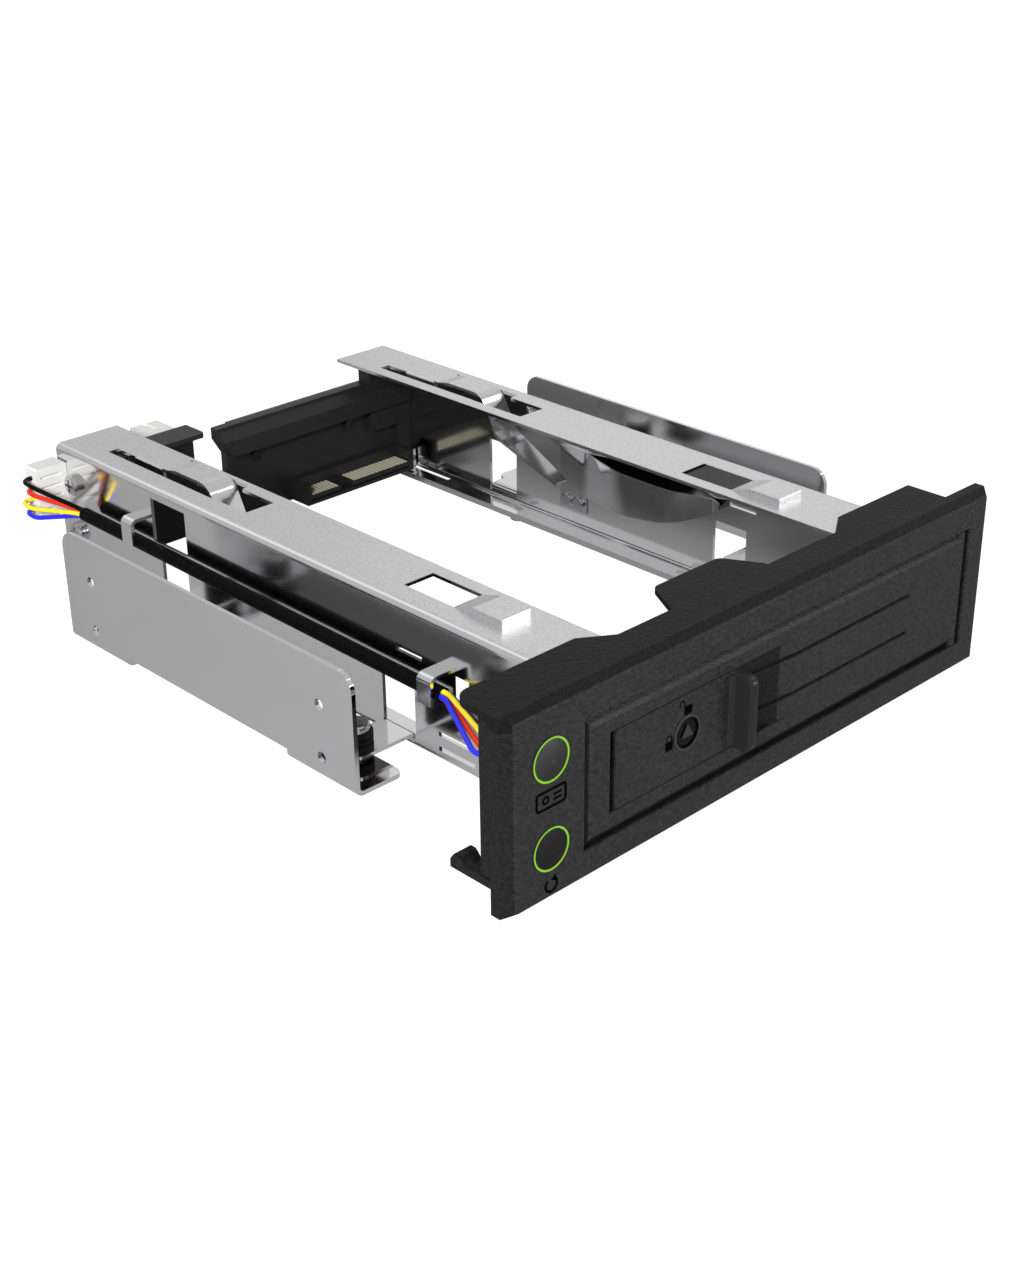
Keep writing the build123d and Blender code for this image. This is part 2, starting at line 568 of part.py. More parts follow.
def door_panel():
    """The door: bevelled skin, lever pocket, finger scoop, grooves, ribs and crank."""
    door = bevelled_plate(
        DOOR_LEFT, DOOR_RIGHT, DOOR_BOTTOM, DOOR_TOP, DOOR_BACK,
        DOOR_BEVEL_WIDTH, DOOR_BEVEL_WIDTH, DOOR_BEVEL_DEPTH,
    )
    middle_z = (LEVER_BOTTOM + LEVER_TOP) / 2
    pocket_left = LEVER_LEFT - LEVER_LEFT_GAP
    pocket_right = LEVER_RIGHT + LEVER_SIDE_GAP
    pocket_bottom = LEVER_BOTTOM - LEVER_SIDE_GAP
    pocket_top = LEVER_TOP + LEVER_SIDE_GAP
    door -= block(pocket_left, pocket_right, FACE_Y - 1.0, DOOR_BACK + 1.0, pocket_bottom, pocket_top)
    sill_left = LOCK_X + CAM_LENGTH + 0.6
    sill_front = FACE_Y + LEVER_THICKNESS + 0.08
    door += block(sill_left, pocket_right + 0.5, sill_front, DOOR_BACK, pocket_bottom - 0.5, pocket_top + 0.5)

    scoop = make_face(Polyline(
        (pocket_right - 0.1, FACE_Y - 0.2), (SCOOP_RIGHT, FACE_Y - 0.2), (SCOOP_RIGHT, FACE_Y),
        (pocket_right - 0.1, FACE_Y + SCOOP_DEPTH), close=True,
    ))
    door -= extrude(Pos(0, 0, pocket_bottom) * scoop, amount=pocket_top - pocket_bottom)

    for side in (-1, 1):
        groove_z = middle_z + 0.5 + side * GROOVE_SPREAD / 2
        y_deep = FACE_Y + GROOVE_DEPTH
        low = groove_z - GROOVE_WIDTH / 2
        door -= block(SCOOP_RIGHT - 1.0, GROOVE_END, FACE_Y - 1.0, y_deep, low, low + GROOVE_WIDTH)
        ramp = make_face(Polyline(
            (pocket_right - 0.1, FACE_Y - 0.2), (SCOOP_RIGHT, FACE_Y - 0.2), (SCOOP_RIGHT, y_deep),
            (pocket_right - 0.1, FACE_Y + SCOOP_DEPTH + 0.4), close=True,
        ))
        door -= extrude(Pos(0, 0, low) * ramp, amount=GROOVE_WIDTH)

    for x in rib_places():
        rib_low = DOOR_BOTTOM + 3.0
        rib_high = DOOR_TOP - 3.0
        rib = block(x - RIB_WIDTH / 2, x + RIB_WIDTH / 2, DOOR_BACK - 0.2, DOOR_BACK + RIB_DEPTH, rib_low, rib_high)
        rib -= block(x - RIB_WIDTH, x + RIB_WIDTH, DOOR_BACK + 4.0, DOOR_BACK + RIB_DEPTH - 3.0, rib_low + 5.0, rib_high - 5.0)
        door += rib
        foot = block(x - BUMPER_WIDTH / 2, x + BUMPER_WIDTH / 2, DOOR_BACK + RIB_DEPTH - 1.2, DOOR_BACK + RIB_DEPTH, rib_low, rib_high)
        door += foot

    for z in (DOOR_BOTTOM + 1.0, DOOR_TOP - 2.2):
        door += block(2.0, HINGE_X - 8.0, DOOR_BACK - 0.2, DOOR_BACK + 1.6, z, z + 1.2)

    crank_top = CRANK_BOTTOM + CRANK_THICKNESS
    arm = make_hull((Pos(HINGE_X - 0.2, HINGE_Y + 0.1) * Circle(CRANK_ARM_RADIUS) + Pos(CRANK_X, CRANK_Y) * Circle(CRANK_ARM_RADIUS)).edges())
    door += extrude(Pos(0, 0, CRANK_BOTTOM) * arm, amount=CRANK_THICKNESS) & block(0, DOOR_RIGHT, DOOR_BACK - 0.5, 20.0, CRANK_BOTTOM, crank_top)
    pin_foot = ARM_Z - 0.4
    door += rod_z(CRANK_X, CRANK_Y, pin_foot, CRANK_BOTTOM + 0.2, CRANK_PIN_RADIUS)

    door += rod_z(HINGE_X, HINGE_Y, DOOR_BOTTOM, DOOR_TOP, HINGE_BARREL)
    hole = HINGE_PIN_RADIUS + RUNNING
    reach = HINGE_PIN_IN_DOOR + 0.3
    door -= rod_z(HINGE_X, HINGE_Y, DOOR_BOTTOM - 1.0, DOOR_BOTTOM + reach, hole)
    door -= rod_z(HINGE_X, HINGE_Y, DOOR_TOP - reach, DOOR_TOP + 1.0, hole)
    pin_low = pocket_bottom - LEVER_PIN_REACH
    pin_high = pocket_top + LEVER_PIN_REACH
    door -= rod_z(LEVER_PIVOT_X, LEVER_PIVOT_Y, pin_low, pin_high, LEVER_PIN_RADIUS + SEAT)
    return door


def rib_places():
    """The two pusher ribs behind the door, either side of the drive's middle."""
    return (-0.5 * (pusher_spread()) + 15.0, 0.5 * (pusher_spread()) + 15.0)


def pusher_spread():
    return 30.0


def door_bumpers():
    """Soft pads on the pusher ribs that press the drive home."""
    made = []
    front = DOOR_BACK + RIB_DEPTH
    for x in rib_places():
        pad = block(x - BUMPER_WIDTH / 2, x + BUMPER_WIDTH / 2, front, front + BUMPER_DEPTH, DOOR_BOTTOM + 3.0, DOOR_TOP - 3.0)
        made.append(fillet(pad.edges().group_by(Axis.Y)[-1], 0.8))
    return made


def hinge_pins():
    low_foot = OPENING_BOTTOM - JAMB_WALL + 0.1
    low = rod_z(HINGE_X, HINGE_Y, low_foot, DOOR_BOTTOM + HINGE_PIN_IN_DOOR, HINGE_PIN_RADIUS)
    high_head = OPENING_TOP + JAMB_WALL - 0.1
    high = rod_z(HINGE_X, HINGE_Y, DOOR_TOP - HINGE_PIN_IN_DOOR, high_head, HINGE_PIN_RADIUS)
    return [low, high]


def latch_lever():
    """The pull lever: plate, upright grip, pivot edge and the hook behind it."""
    back = FACE_Y + LEVER_THICKNESS
    grip_tip = FACE_Y - GRIP_PROUD
    grip_left = LEVER_RIGHT - GRIP_WIDTH
    lever = block(LEVER_LEFT, LEVER_RIGHT, FACE_Y, back, LEVER_BOTTOM, LEVER_TOP)
    side_view = make_face(Polyline(
        (back, LEVER_BOTTOM), (grip_tip, LEVER_BOTTOM), (grip_tip, LEVER_TOP), (back, LEVER_TOP), close=True,
    ))
    side_view = fillet([nearest(side_view, grip_tip, LEVER_BOTTOM), nearest(side_view, grip_tip, LEVER_TOP)], GRIP_ROUND)
    grip = extrude(side_plane(grip_left) * side_view, amount=GRIP_WIDTH)
    rims = [e for e in grip.edges() if e.center().Y < FACE_Y - 0.5 and abs(e.tangent_at(0.5).X) < 0.5]
    grip = fillet(rims, GRIP_EDGE)
    root = make_face(Polyline(
        (grip_left - GRIP_FILLET, FACE_Y), (grip_left + 0.1, FACE_Y), (grip_left + 0.1, FACE_Y - GRIP_FILLET),
        (grip_left, FACE_Y - GRIP_FILLET), close=True,
    ))
    root_low = LEVER_BOTTOM + GRIP_FILLET
    lever += grip + extrude(Pos(0, 0, root_low) * root, amount=LEVER_TOP - GRIP_FILLET - root_low)

    middle_z = (LEVER_BOTTOM + LEVER_TOP) / 2
    hook_low = middle_z - HOOK_HEIGHT / 2
    hook_front = CATCH_LAND + FACE_GAP
    hook_tip = OPENING_LEFT + 0.25
    hook = make_face(Polyline(
        (LEVER_LEFT, back - 0.2), (LEVER_LEFT + 3.2, back - 0.2), (LEVER_LEFT + 3.2, hook_front + HOOK_THICKNESS),
        (hook_tip + 1.2, hook_front + HOOK_THICKNESS), (hook_tip, hook_front + 0.6), (hook_tip, hook_front),
        (LEVER_LEFT, hook_front), close=True,
    ))
    lever += extrude(Pos(0, 0, hook_low) * hook, amount=HOOK_HEIGHT)
    lever -= rod_z(LEVER_PIVOT_X, LEVER_PIVOT_Y, LEVER_BOTTOM - 1, LEVER_BOTTOM + 3.3, LEVER_PIN_RADIUS + RUNNING)
    lever -= rod_z(LEVER_PIVOT_X, LEVER_PIVOT_Y, LEVER_TOP - 3.3, LEVER_TOP + 1, LEVER_PIN_RADIUS + RUNNING)
    lever -= rod_y(LOCK_X, LOCK_Z, FACE_Y - 1, FACE_Y + LOCK_HEAD_DEPTH, LOCK_RADIUS + RUNNING)
    lever -= rod_y(LOCK_X, LOCK_Z, FACE_Y - 1, back + 1, LOCK_BARREL_RADIUS + RUNNING)
    return lever


def lever_pins():
    low_foot = LEVER_BOTTOM - LEVER_SIDE_GAP - LEVER_PIN_REACH + 0.1
    low = rod_z(LEVER_PIVOT_X, LEVER_PIVOT_Y, low_foot, LEVER_BOTTOM + 3.0, LEVER_PIN_RADIUS)
    high_head = LEVER_TOP + LEVER_SIDE_GAP + LEVER_PIN_REACH - 0.1
    high = rod_z(LEVER_PIVOT_X, LEVER_PIVOT_Y, LEVER_TOP - 3.0, high_head, LEVER_PIN_RADIUS)
    return [low, high]


def lock_cylinder():
    """The round lock plug: a rim, a groove, a raised pointer, and its barrel."""
    head_back = FACE_Y + LOCK_HEAD_DEPTH
    rim = FACE_Y - LOCK_PROUD
    plug = rod_y(LOCK_X, LOCK_Z, rim, head_back, LOCK_RADIUS)
    plug = fillet(plug.edges().sort_by(Axis.Y)[0], 0.15)
    plug += rod_y(LOCK_X, LOCK_Z, head_back - 0.1, LOCK_BACK + CAM_THICKNESS + 0.15, LOCK_BARREL_RADIUS)
    plug -= rod_y(LOCK_X, LOCK_Z, FACE_Y - 1.0, FACE_Y + 0.1, LOCK_GROOVE_OUTER)
    groove = rod_y(LOCK_X, LOCK_Z, FACE_Y - 1.0, FACE_Y + 0.5, LOCK_GROOVE_OUTER)
    plug -= groove - rod_y(LOCK_X, LOCK_Z, FACE_Y - 2.0, FACE_Y + 1.0, LOCK_GROOVE_INNER)
    points = [(-POINTER_HALF, -POINTER_FOOT), (POINTER_HALF, -POINTER_FOOT), (0, POINTER_TOP)]
    pointer = fillet(make_face(Polyline(*points, close=True)).vertices(), 0.2)
    plug += extrude(front_plane(LOCK_X, FACE_Y + 0.2, LOCK_Z) * pointer, amount=0.45)
    tail = LOCK_BACK + CAM_THICKNESS + 0.15
    return plug - rod_y(LOCK_X, LOCK_Z, tail - CAM_SHANK_DEPTH, tail + 1.0, CAM_SHANK_RADIUS + SEAT)


def lock_cam():
    """The flat cam on the lock's tail, which turns up behind the door's edge."""
    front = LOCK_BACK + CAM_THICKNESS + 0.15
    arm = make_hull((Circle(CAM_WIDTH / 2 + 0.6) + Pos(CAM_LENGTH - CAM_WIDTH / 2, 0) * Circle(CAM_WIDTH / 2)).edges())
    cam = extrude(front_plane(LOCK_X, front + CAM_THICKNESS, LOCK_Z) * arm, amount=CAM_THICKNESS)
    return cam - rod_y(LOCK_X, LOCK_Z, front - 1.0, front + 2.0, CAM_SHANK_RADIUS + SEAT)


def cam_screw():
    front = LOCK_BACK + CAM_THICKNESS + 0.15
    head = rod_y(LOCK_X, LOCK_Z, front + CAM_THICKNESS, front + CAM_THICKNESS + 1.0, CAM_SCREW_RADIUS)
    head = fillet(head.edges().sort_by(Axis.Y)[-1], 0.4)
    shank_end = front - CAM_SHANK_DEPTH + 0.2
    return head + rod_y(LOCK_X, LOCK_Z, shank_end, front + CAM_THICKNESS + 0.3, CAM_SHANK_RADIUS)


def along_y(shape, x, z):
    """The edges of a shape that run along Y at a given place."""
    found = [e for e in shape.edges() if abs(e.center().X - x) < 0.01 and abs(e.center().Z - z) < 0.01]
    return [e for e in found if abs(e.tangent_at(0.5).Y) > 0.99]


def channel_shell():
    """The folded section of the right channel: rail on top, wall, and ledge at the foot."""
    outer = block(0.0, CHANNEL_OUTSIDE, RAIL_FRONT, CHANNEL_REAR, CHANNEL_BOTTOM, RAIL_TOP)
    corners = along_y(outer, CHANNEL_OUTSIDE, CHANNEL_BOTTOM) + along_y(outer, CHANNEL_OUTSIDE, RAIL_TOP)
    outer = fillet(corners, BEND)
    low = CHANNEL_BOTTOM + STEEL
    high = RAIL_TOP - STEEL
    inner = block(-1.0, CHANNEL_INSIDE, RAIL_FRONT - 1.0, CHANNEL_REAR + 1.0, low, high)
    corners = along_y(inner, CHANNEL_INSIDE, low) + along_y(inner, CHANNEL_INSIDE, high)
    inner = fillet(corners, BEND - STEEL)
    shell = outer - inner
    shell -= block(-1.0, RAIL_INNER, RAIL_FRONT - 1.0, CHANNEL_REAR + 1.0, RAIL_TOP - 2.0, RAIL_TOP + 1.0)
    shell -= block(-1.0, LEDGE_INNER, RAIL_FRONT - 1.0, CHANNEL_REAR + 1.0, CHANNEL_BOTTOM - 1.0, low + 1.0)
    shell -= block(CHANNEL_INSIDE - 9.0, CHANNEL_OUTSIDE + 1.0, 0.0, CHANNEL_FRONT, 0.0, RAIL_TOP - BEND)
    return shell


def ear(side):
    """The front ear, folded outwards from the wall and screwed to the bezel."""
    outer = abs(ear_screw_x(side)) + EAR_MARGIN
    profile = make_face(Polyline(
        (CHANNEL_INSIDE, EAR_Y), (outer, EAR_Y), (outer, EAR_Y + STEEL), (CHANNEL_OUTSIDE, EAR_Y + STEEL),
        (CHANNEL_OUTSIDE, EAR_Y + 4.0), (CHANNEL_INSIDE, EAR_Y + 4.0), close=True,
    ))
    profile = fillet(nearest(profile, CHANNEL_INSIDE, EAR_Y), BEND)
    profile = fillet(nearest(profile, CHANNEL_OUTSIDE, EAR_Y + STEEL), BEND - STEEL)
    top = EAR_TOP[side_name(side)]
    plate = extrude(Pos(0, 0, EAR_BOTTOM) * profile, amount=top - EAR_BOTTOM)
    for z in EAR_SCREWS[side_name(side)]:
        plate -= rod_y(abs(ear_screw_x(side)), z, EAR_Y - 1.0, EAR_Y + 2.0, EAR_SCREW_RADIUS + SEAT)
    return plate


def nearest(sketch, x, y):
    """The corner of a flat profile that lies at a point."""
    return min(sketch.vertices(), key=lambda v: (v.X - x) ** 2 + (v.Y - y) ** 2)


def shelf(y):
    """The tab folded out of the wall's window, with the hole for a damper."""
    half = WINDOW_LENGTH / 2 - 0.4
    root = SHELF_TOP - 2.4
    under = SHELF_TOP - STEEL
    profile = make_face(Polyline(
        (CHANNEL_INSIDE, root), (CHANNEL_OUTSIDE, root), (CHANNEL_OUTSIDE, under), (SHELF_END, under),
        (SHELF_END, SHELF_TOP), (CHANNEL_INSIDE, SHELF_TOP), close=True,
    ))
    profile = fillet(nearest(profile, CHANNEL_OUTSIDE, under), BEND - STEEL)
    profile = fillet(nearest(profile, CHANNEL_INSIDE, SHELF_TOP), BEND)
    plane = Plane(origin=(0, y + half, 0), x_dir=(1, 0, 0), z_dir=(0, -1, 0))
    tab = extrude(plane * profile, amount=2 * half)
    far = [e for e in tab.edges() if abs(e.center().X - SHELF_END) < 0.01 and abs(e.tangent_at(0.5).Z) > 0.99]
    tab = fillet(far, 1.5)
    return tab - rod_z(DAMPER_X, y, under - 1.0, SHELF_TOP + 1.0, GROMMET_NECK + SEAT)


def pad(x):
    """The raised pad in front of the rail's window: a sharp step in front, a ramp behind."""
    half = RAIL_WINDOW_WIDTH / 2 - 0.1
    rear = RAIL_WINDOW_FRONT

    def pressing(drop, inset, start):
        profile = make_face(Polyline(
            (PAD_FRONT + inset, RAIL_TOP - start), (PAD_FRONT + inset, RAIL_TOP + PAD_RISE - drop),
            (PAD_REAR, RAIL_TOP + PAD_RISE - drop), (rear, RAIL_TOP - drop), (rear, RAIL_TOP - start), close=True,
        ))
        solid = extrude(side_plane(x - half + inset) * profile, amount=2 * (half - inset))
        crest = RAIL_TOP + PAD_RISE - drop
        top = [e for e in solid.edges() if abs(e.center().Z - crest) < 0.01]
        return fillet(top, 0.4 - 0.3 * inset)

    raised = pressing(0.0, 0.0, STEEL)
    hollow = pressing(STEEL, PAD_WALL, STEEL + 0.5) + block(x - half + PAD_WALL, x + half - PAD_WALL, rear - 0.5, rear + 0.1, RAIL_TOP - STEEL - 0.5, RAIL_TOP - STEEL)
    return raised, hollow


def leaf(x):
    """The hold-down leaf: lanced from the rail, arched up, then curled down into the bay."""
    top = RAIL_TOP
    path = FilletPolyline(
        (BRIDGE_FRONT + 1.0, top - STEEL / 2), (BRIDGE_FRONT - 0.4, top - STEEL / 2),
        (BRIDGE_FRONT - 4.0, top + 0.35), (SPRING_BEND_Y, top + 0.35),
        (SPRING_KNEE_Y, SPRING_KNEE_Z - 3.0), (SPRING_TIP_Y, SPRING_TIP_Z),
        radius=[1.2, 1.2, 5.0, 8.0],
    )
    profile = trace_band(path, STEEL)
    blade = extrude(side_plane(x - SPRING_WIDTH / 2) * profile, amount=SPRING_WIDTH)
    for edge_side in (-1, 1):
        taper = make_face(Polyline(
            (x + edge_side * (SPRING_WIDTH / 2 + 1.0), SPRING_KNEE_Y), (x + edge_side * SPRING_WIDTH / 2, SPRING_KNEE_Y),
            (x + edge_side * (SPRING_WIDTH / 2 - 1.9), SPRING_TIP_Y - 2.0),
            (x + edge_side * (SPRING_WIDTH / 2 + 1.0), SPRING_TIP_Y - 2.0), close=True,
        ))
        blade -= extrude(Pos(0, 0, SPRING_TIP_Z - 5.0) * taper, amount=16.0)
    return blade


def trace_band(path, thickness):
    """A flat band of even thickness along a path of lines and arcs."""
    wire = Wire(path.edges())
    above = wire.offset_2d(thickness / 2, kind=Kind.INTERSECTION, side=Side.BOTH, closed=True)
    return make_face(above.edges())


def channel(side):
    """One side channel with its window, pad, leaf, slots, shelves and ear."""
    steel = channel_shell()
    top = EAR_TOP[side_name(side)]
    steel -= block(CHANNEL_INSIDE - 0.1, CHANNEL_OUTSIDE + 1.0, 0.0, EAR_Y + 2.6, EAR_BOTTOM - 0.6, top + 0.6)
    steel += ear(side)
    for y in (FRONT_WINDOW_Y, REAR_WINDOW_Y):
        half = WINDOW_LENGTH / 2
        steel -= block(CHANNEL_INSIDE - 0.5, CHANNEL_OUTSIDE + 0.5, y - half, y + half, SHELF_TOP - 2.0, WINDOW_TOP)
        steel += shelf(y)
    steel -= block(CHANNEL_INSIDE - 0.5, CHANNEL_OUTSIDE + 0.5, *SIDE_SLOT)
    relief = CHANNEL_INSIDE - BEND + STEEL + 0.05
    steel -= block(LEDGE_INNER - 1.0, relief, *LEDGE_RELIEF, CHANNEL_BOTTOM - 1.0, CHANNEL_BOTTOM + STEEL + 0.1)
    for z in SCREW_HEIGHTS:
        steel -= rod_x(SCREW_Y, z, CHANNEL_INSIDE - 1.0, CHANNEL_OUTSIDE + 1.0, SCREW_RADIUS + SEAT)
    for y in side_rivet_places():
        steel -= rod_x(y, SIDE_RIVET_Z, CHANNEL_INSIDE - 1.0, CHANNEL_OUTSIDE + 1.0, RIVET_RADIUS + SEAT)
    if side < 0:
        steel = mirror(steel, about=Plane.YZ)

    centre = side * RAIL_WINDOW_X
    half = RAIL_WINDOW_WIDTH / 2
    above = RAIL_TOP + 2.0
    below = RAIL_TOP - 2.0
    steel -= block(centre - half, centre + half, RAIL_WINDOW_FRONT, RAIL_WINDOW_REAR, below, above)
    raised, hollow = pad(centre)
    steel = steel + raised - hollow

    spring_x = SPRING_X[side_name(side)]
    spring_left = spring_x - SPRING_WIDTH / 2
    spring_right = spring_x + SPRING_WIDTH / 2
    slot_left = spring_left - 2.8
    steel -= block(slot_left, spring_left - 0.05, BRIDGE_FRONT - 2.0, BRIDGE_REAR + 2.0, below, above)
    steel -= block(slot_left, spring_right + 0.15, SPRING_BEND_Y - 6.0, BRIDGE_FRONT, below, above)
    steel -= block(centre - half, centre + half, SPRING_SLOT_FRONT, SPRING_BEND_Y, below, above)
    steel -= rod_z(spring_right, BRIDGE_FRONT, below, above, 0.55)
    skirt_front = BRIDGE_FRONT + 0.9
    skirt = block(spring_left - 0.05, spring_left + STEEL, skirt_front, BRIDGE_FRONT + 12.0, RAIL_TOP - BRIDGE_SKIRT, RAIL_TOP)
    skirt = fillet(along_y(skirt, spring_left - 0.05, RAIL_TOP), STEEL * 0.8)
    steel -= block(spring_left - 0.06, spring_left + STEEL / 2, skirt_front, BRIDGE_FRONT + 12.0, below, above)
    steel += skirt
    steel += leaf(spring_x)
    if side < 0:
        steel = harness_clips(steel)
        notch = (168.2, CHANNEL_REAR + 1.0, PLUG_TOP - PLUG_HEIGHT + 1.0, PLUG_TOP - 1.0)
        steel -= block(-CHANNEL_OUTSIDE - 1.0, -CHANNEL_INSIDE + 0.5, *notch)
        for low in (10.2, 13.6):
            steel -= block(-CHANNEL_OUTSIDE - 1.0, -CHANNEL_INSIDE + 0.5, 27.5, 38.0, low, low + 1.0)
    else:
        lug_slot = (lug_front() - EJECTOR_TRAVEL - 1.0, lug_front() + EJECTOR_STEEL + 4.0)
        steel -= block(LUG_INNER - 0.4, LUG_OUTER + 0.3, *lug_slot, CHANNEL_BOTTOM - 1.0, CHANNEL_BOTTOM + STEEL + 0.1)
        for y in EJECTOR_RIVETS:
            steel -= rod_z(ejector_middle(), y, CHANNEL_BOTTOM - 1.0, CHANNEL_BOTTOM + 1.0, EJECTOR_RIVET_RADIUS + SEAT)
    return steel


def harness_clips(steel):
    """Adds the two hooked straps on the left wall, each beside the window it came from."""
    for (strap_y, strap_top), window in zip(CLIPS, CLIP_WINDOWS):
        low_y = strap_y - CLIP_WIDTH / 2
        lip = -(abs(SLEEVE_X) + SLEEVE_RADIUS + 0.15)
        profile = make_face(Polyline(
            (-CHANNEL_INSIDE, strap_top - STEEL), (-CHANNEL_INSIDE, strap_top), (lip - STEEL, strap_top),
            (lip - STEEL, strap_top - CLIP_HEIGHT), (lip, strap_top - CLIP_HEIGHT), (lip, strap_top - STEEL), close=True,
        ))
        profile = fillet(nearest(profile, lip - STEEL, strap_top), BEND)
        profile = fillet(nearest(profile, lip, strap_top - STEEL), BEND - STEEL)
        plane = Plane(origin=(0, low_y + CLIP_WIDTH, 0), x_dir=(1, 0, 0), z_dir=(0, -1, 0))
        strap = extrude(plane * profile, amount=CLIP_WIDTH)
        steel -= block(-CHANNEL_OUTSIDE - 0.5, -CHANNEL_INSIDE + 0.5, *window)
        steel += strap
    return steel


def side_rivet_places():
    return (SIDE_SPRING_REAR - 2.4, SIDE_SPRING_REAR - 6.4)


def side_spring(side):
    """A bowed strip that presses on the drive's flank: one end riveted, one end free."""
    wall = CHANNEL_INSIDE
    bow = wall - SIDE_SPRING_BOW
    rear = SIDE_SPRING_REAR
    front = SIDE_SPRING_FRONT
    skin = SIDE_SPRING_STEEL
    middle = (front + rear - SIDE_SPRING_FOOT) / 2
    path = FilletPolyline(
        (wall - skin / 2, rear), (wall - skin / 2, rear - SIDE_SPRING_FOOT),
        (bow, middle + 8.0), (bow, middle - 8.0),
        (wall - skin / 2 - 0.35, front + 3.0), (wall - skin / 2 - 1.6, front),
        radius=[10.0, 25.0, 25.0, 2.0],
    )
    profile = trace_band(path, skin)
    strip = extrude(Pos(0, 0, SIDE_SPRING_BOTTOM) * profile, amount=SIDE_SPRING_TOP - SIDE_SPRING_BOTTOM)
    foot = rear - SIDE_SPRING_FOOT
    span = foot - front
    curve = Spline(*[(foot - part * span, SIDE_SPRING_TOP - height) for part, height in SIDE_SPRING_TAPER])
    below = SIDE_SPRING_BOTTOM - 1.0
    tip = (front - 2.0, SIDE_SPRING_TOP - SIDE_SPRING_TAPER[-1][1])
    under = Polyline(curve @ 1, tip, (front - 2.0, below), (foot, below), curve @ 0)
    strip -= extrude(side_plane(wall - 10.0) * make_face(curve + under), amount=11.0)
    for y in side_rivet_places():
        strip -= rod_x(y, SIDE_RIVET_Z, wall - 2.0, wall + 1.0, RIVET_RADIUS + SEAT)
    return strip if side > 0 else mirror(strip, about=Plane.YZ)


def side_spring_rivets():
    made = []
    for side in (-1, 1):
        for y in side_rivet_places():
            middle = SIDE_RIVET_Z
            inner = CHANNEL_INSIDE - SIDE_SPRING_STEEL
            rivet = rod_x(y, middle, inner - 0.3, CHANNEL_OUTSIDE + 0.3, RIVET_RADIUS)
            head_in = rod_x(y, middle, inner - 0.7, inner, RIVET_HEAD)
            head_out = rod_x(y, middle, CHANNEL_OUTSIDE, CHANNEL_OUTSIDE + 0.8, RIVET_HEAD)
            head_in = fillet(head_in.edges().sort_by(Axis.X)[0], 0.5)
            head_out = fillet(head_out.edges().sort_by(Axis.X)[-1], 0.6)
            rivet = rivet + head_in + head_out
            made.append(rivet if side > 0 else mirror(rivet, about=Plane.YZ))
    return made


def mount_bracket(side):
    """The outer bracket: a plate with two feet folded inwards under the dampers."""
    middle = (BRACKET_FRONT + BRACKET_REAR) / 2
    outer = BRACKET_OUTSIDE
    inner = outer - BRACKET_STEEL
    plate = block(inner, outer, BRACKET_FRONT, BRACKET_REAR, BRACKET_EDGE, BRACKET_TOP)
    upper = [e for e in plate.edges() if abs(e.tangent_at(0.5).X) > 0.99 and e.center().Z > BRACKET_TOP - 0.1]
    plate = fillet(upper, 4.0)
    for start in (BRACKET_FRONT, BRACKET_REAR - FOOT_LENGTH):
        profile = make_face(Polyline(
            (outer, BRACKET_EDGE + 2.0), (outer, BRACKET_FOOT), (outer - FOOT_WIDTH, BRACKET_FOOT),
            (outer - FOOT_WIDTH, BRACKET_FOOT + BRACKET_STEEL), (inner, BRACKET_FOOT + BRACKET_STEEL),
            (inner, BRACKET_EDGE + 2.0), close=True,
        ))
        profile = fillet(nearest(profile, outer, BRACKET_FOOT), 1.8)
        profile = fillet(nearest(profile, inner, BRACKET_FOOT + BRACKET_STEEL), 0.8)
        plane = Plane(origin=(0, start + FOOT_LENGTH, 0), x_dir=(1, 0, 0), z_dir=(0, -1, 0))
        foot = extrude(plane * profile, amount=FOOT_LENGTH)
        corners = [e for e in foot.edges() if abs(e.tangent_at(0.5).Z) > 0.99 and abs(e.center().X - outer + FOOT_WIDTH) < 0.01]
        plate += fillet(corners, 2.0)
    for y in (FRONT_WINDOW_Y, REAR_WINDOW_Y):
        plate -= rod_z(DAMPER_X, y, BRACKET_FOOT - 1.0, BRACKET_FOOT + 2.0, POST_RADIUS + SEAT)
    for dy in (-0.5, 0.5):
        for row in (0, 1):
            y = side_hole_centre() + dy * SIDE_HOLE_PITCH
            z = LOWER_HOLE_Z + row * SIDE_HOLE_ROW_PITCH
            plate -= rod_x(y, z, inner - 1.0, outer + 1.0, SIDE_HOLE_RADIUS)
    return plate if side > 0 else mirror(plate, about=Plane.YZ)


def side_hole_centre():
    return FRONT_HOLE_Y + SIDE_HOLE_PITCH / 2


def damper_places():
    return [(s * DAMPER_X, y) for s in (-1, 1) for y in (FRONT_WINDOW_Y, REAR_WINDOW_Y)]


def grommets():
    """Four rubber dampers, each with a waist that sits in its shelf's hole."""
    made = []
    foot = BRACKET_FOOT + BRACKET_STEEL + 0.6
    for x, y in damper_places():
        body = rod_z(x, y, foot, GROMMET_TOP, GROMMET_RADIUS)
        rims = body.edges().filter_by(GeomType.CIRCLE)
        body = fillet(rims, 0.5)
        waist = rod_z(x, y, SHELF_TOP - STEEL, SHELF_TOP, GROMMET_RADIUS + 1.0)
        waist -= rod_z(x, y, SHELF_TOP - STEEL - 1.0, SHELF_TOP + 1.0, GROMMET_NECK)
        body -= waist
        for z in (12.7, 13.9):
            groove = rod_z(x, y, z - 0.25, z + 0.25, GROMMET_RADIUS + 1.0)
            body -= groove - rod_z(x, y, z - 1.0, z + 1.0, GROMMET_RADIUS - 0.35)
        made.append(body - rod_z(x, y, foot - 1.0, GROMMET_TOP + 1.0, POST_RADIUS + RUNNING))
    return made


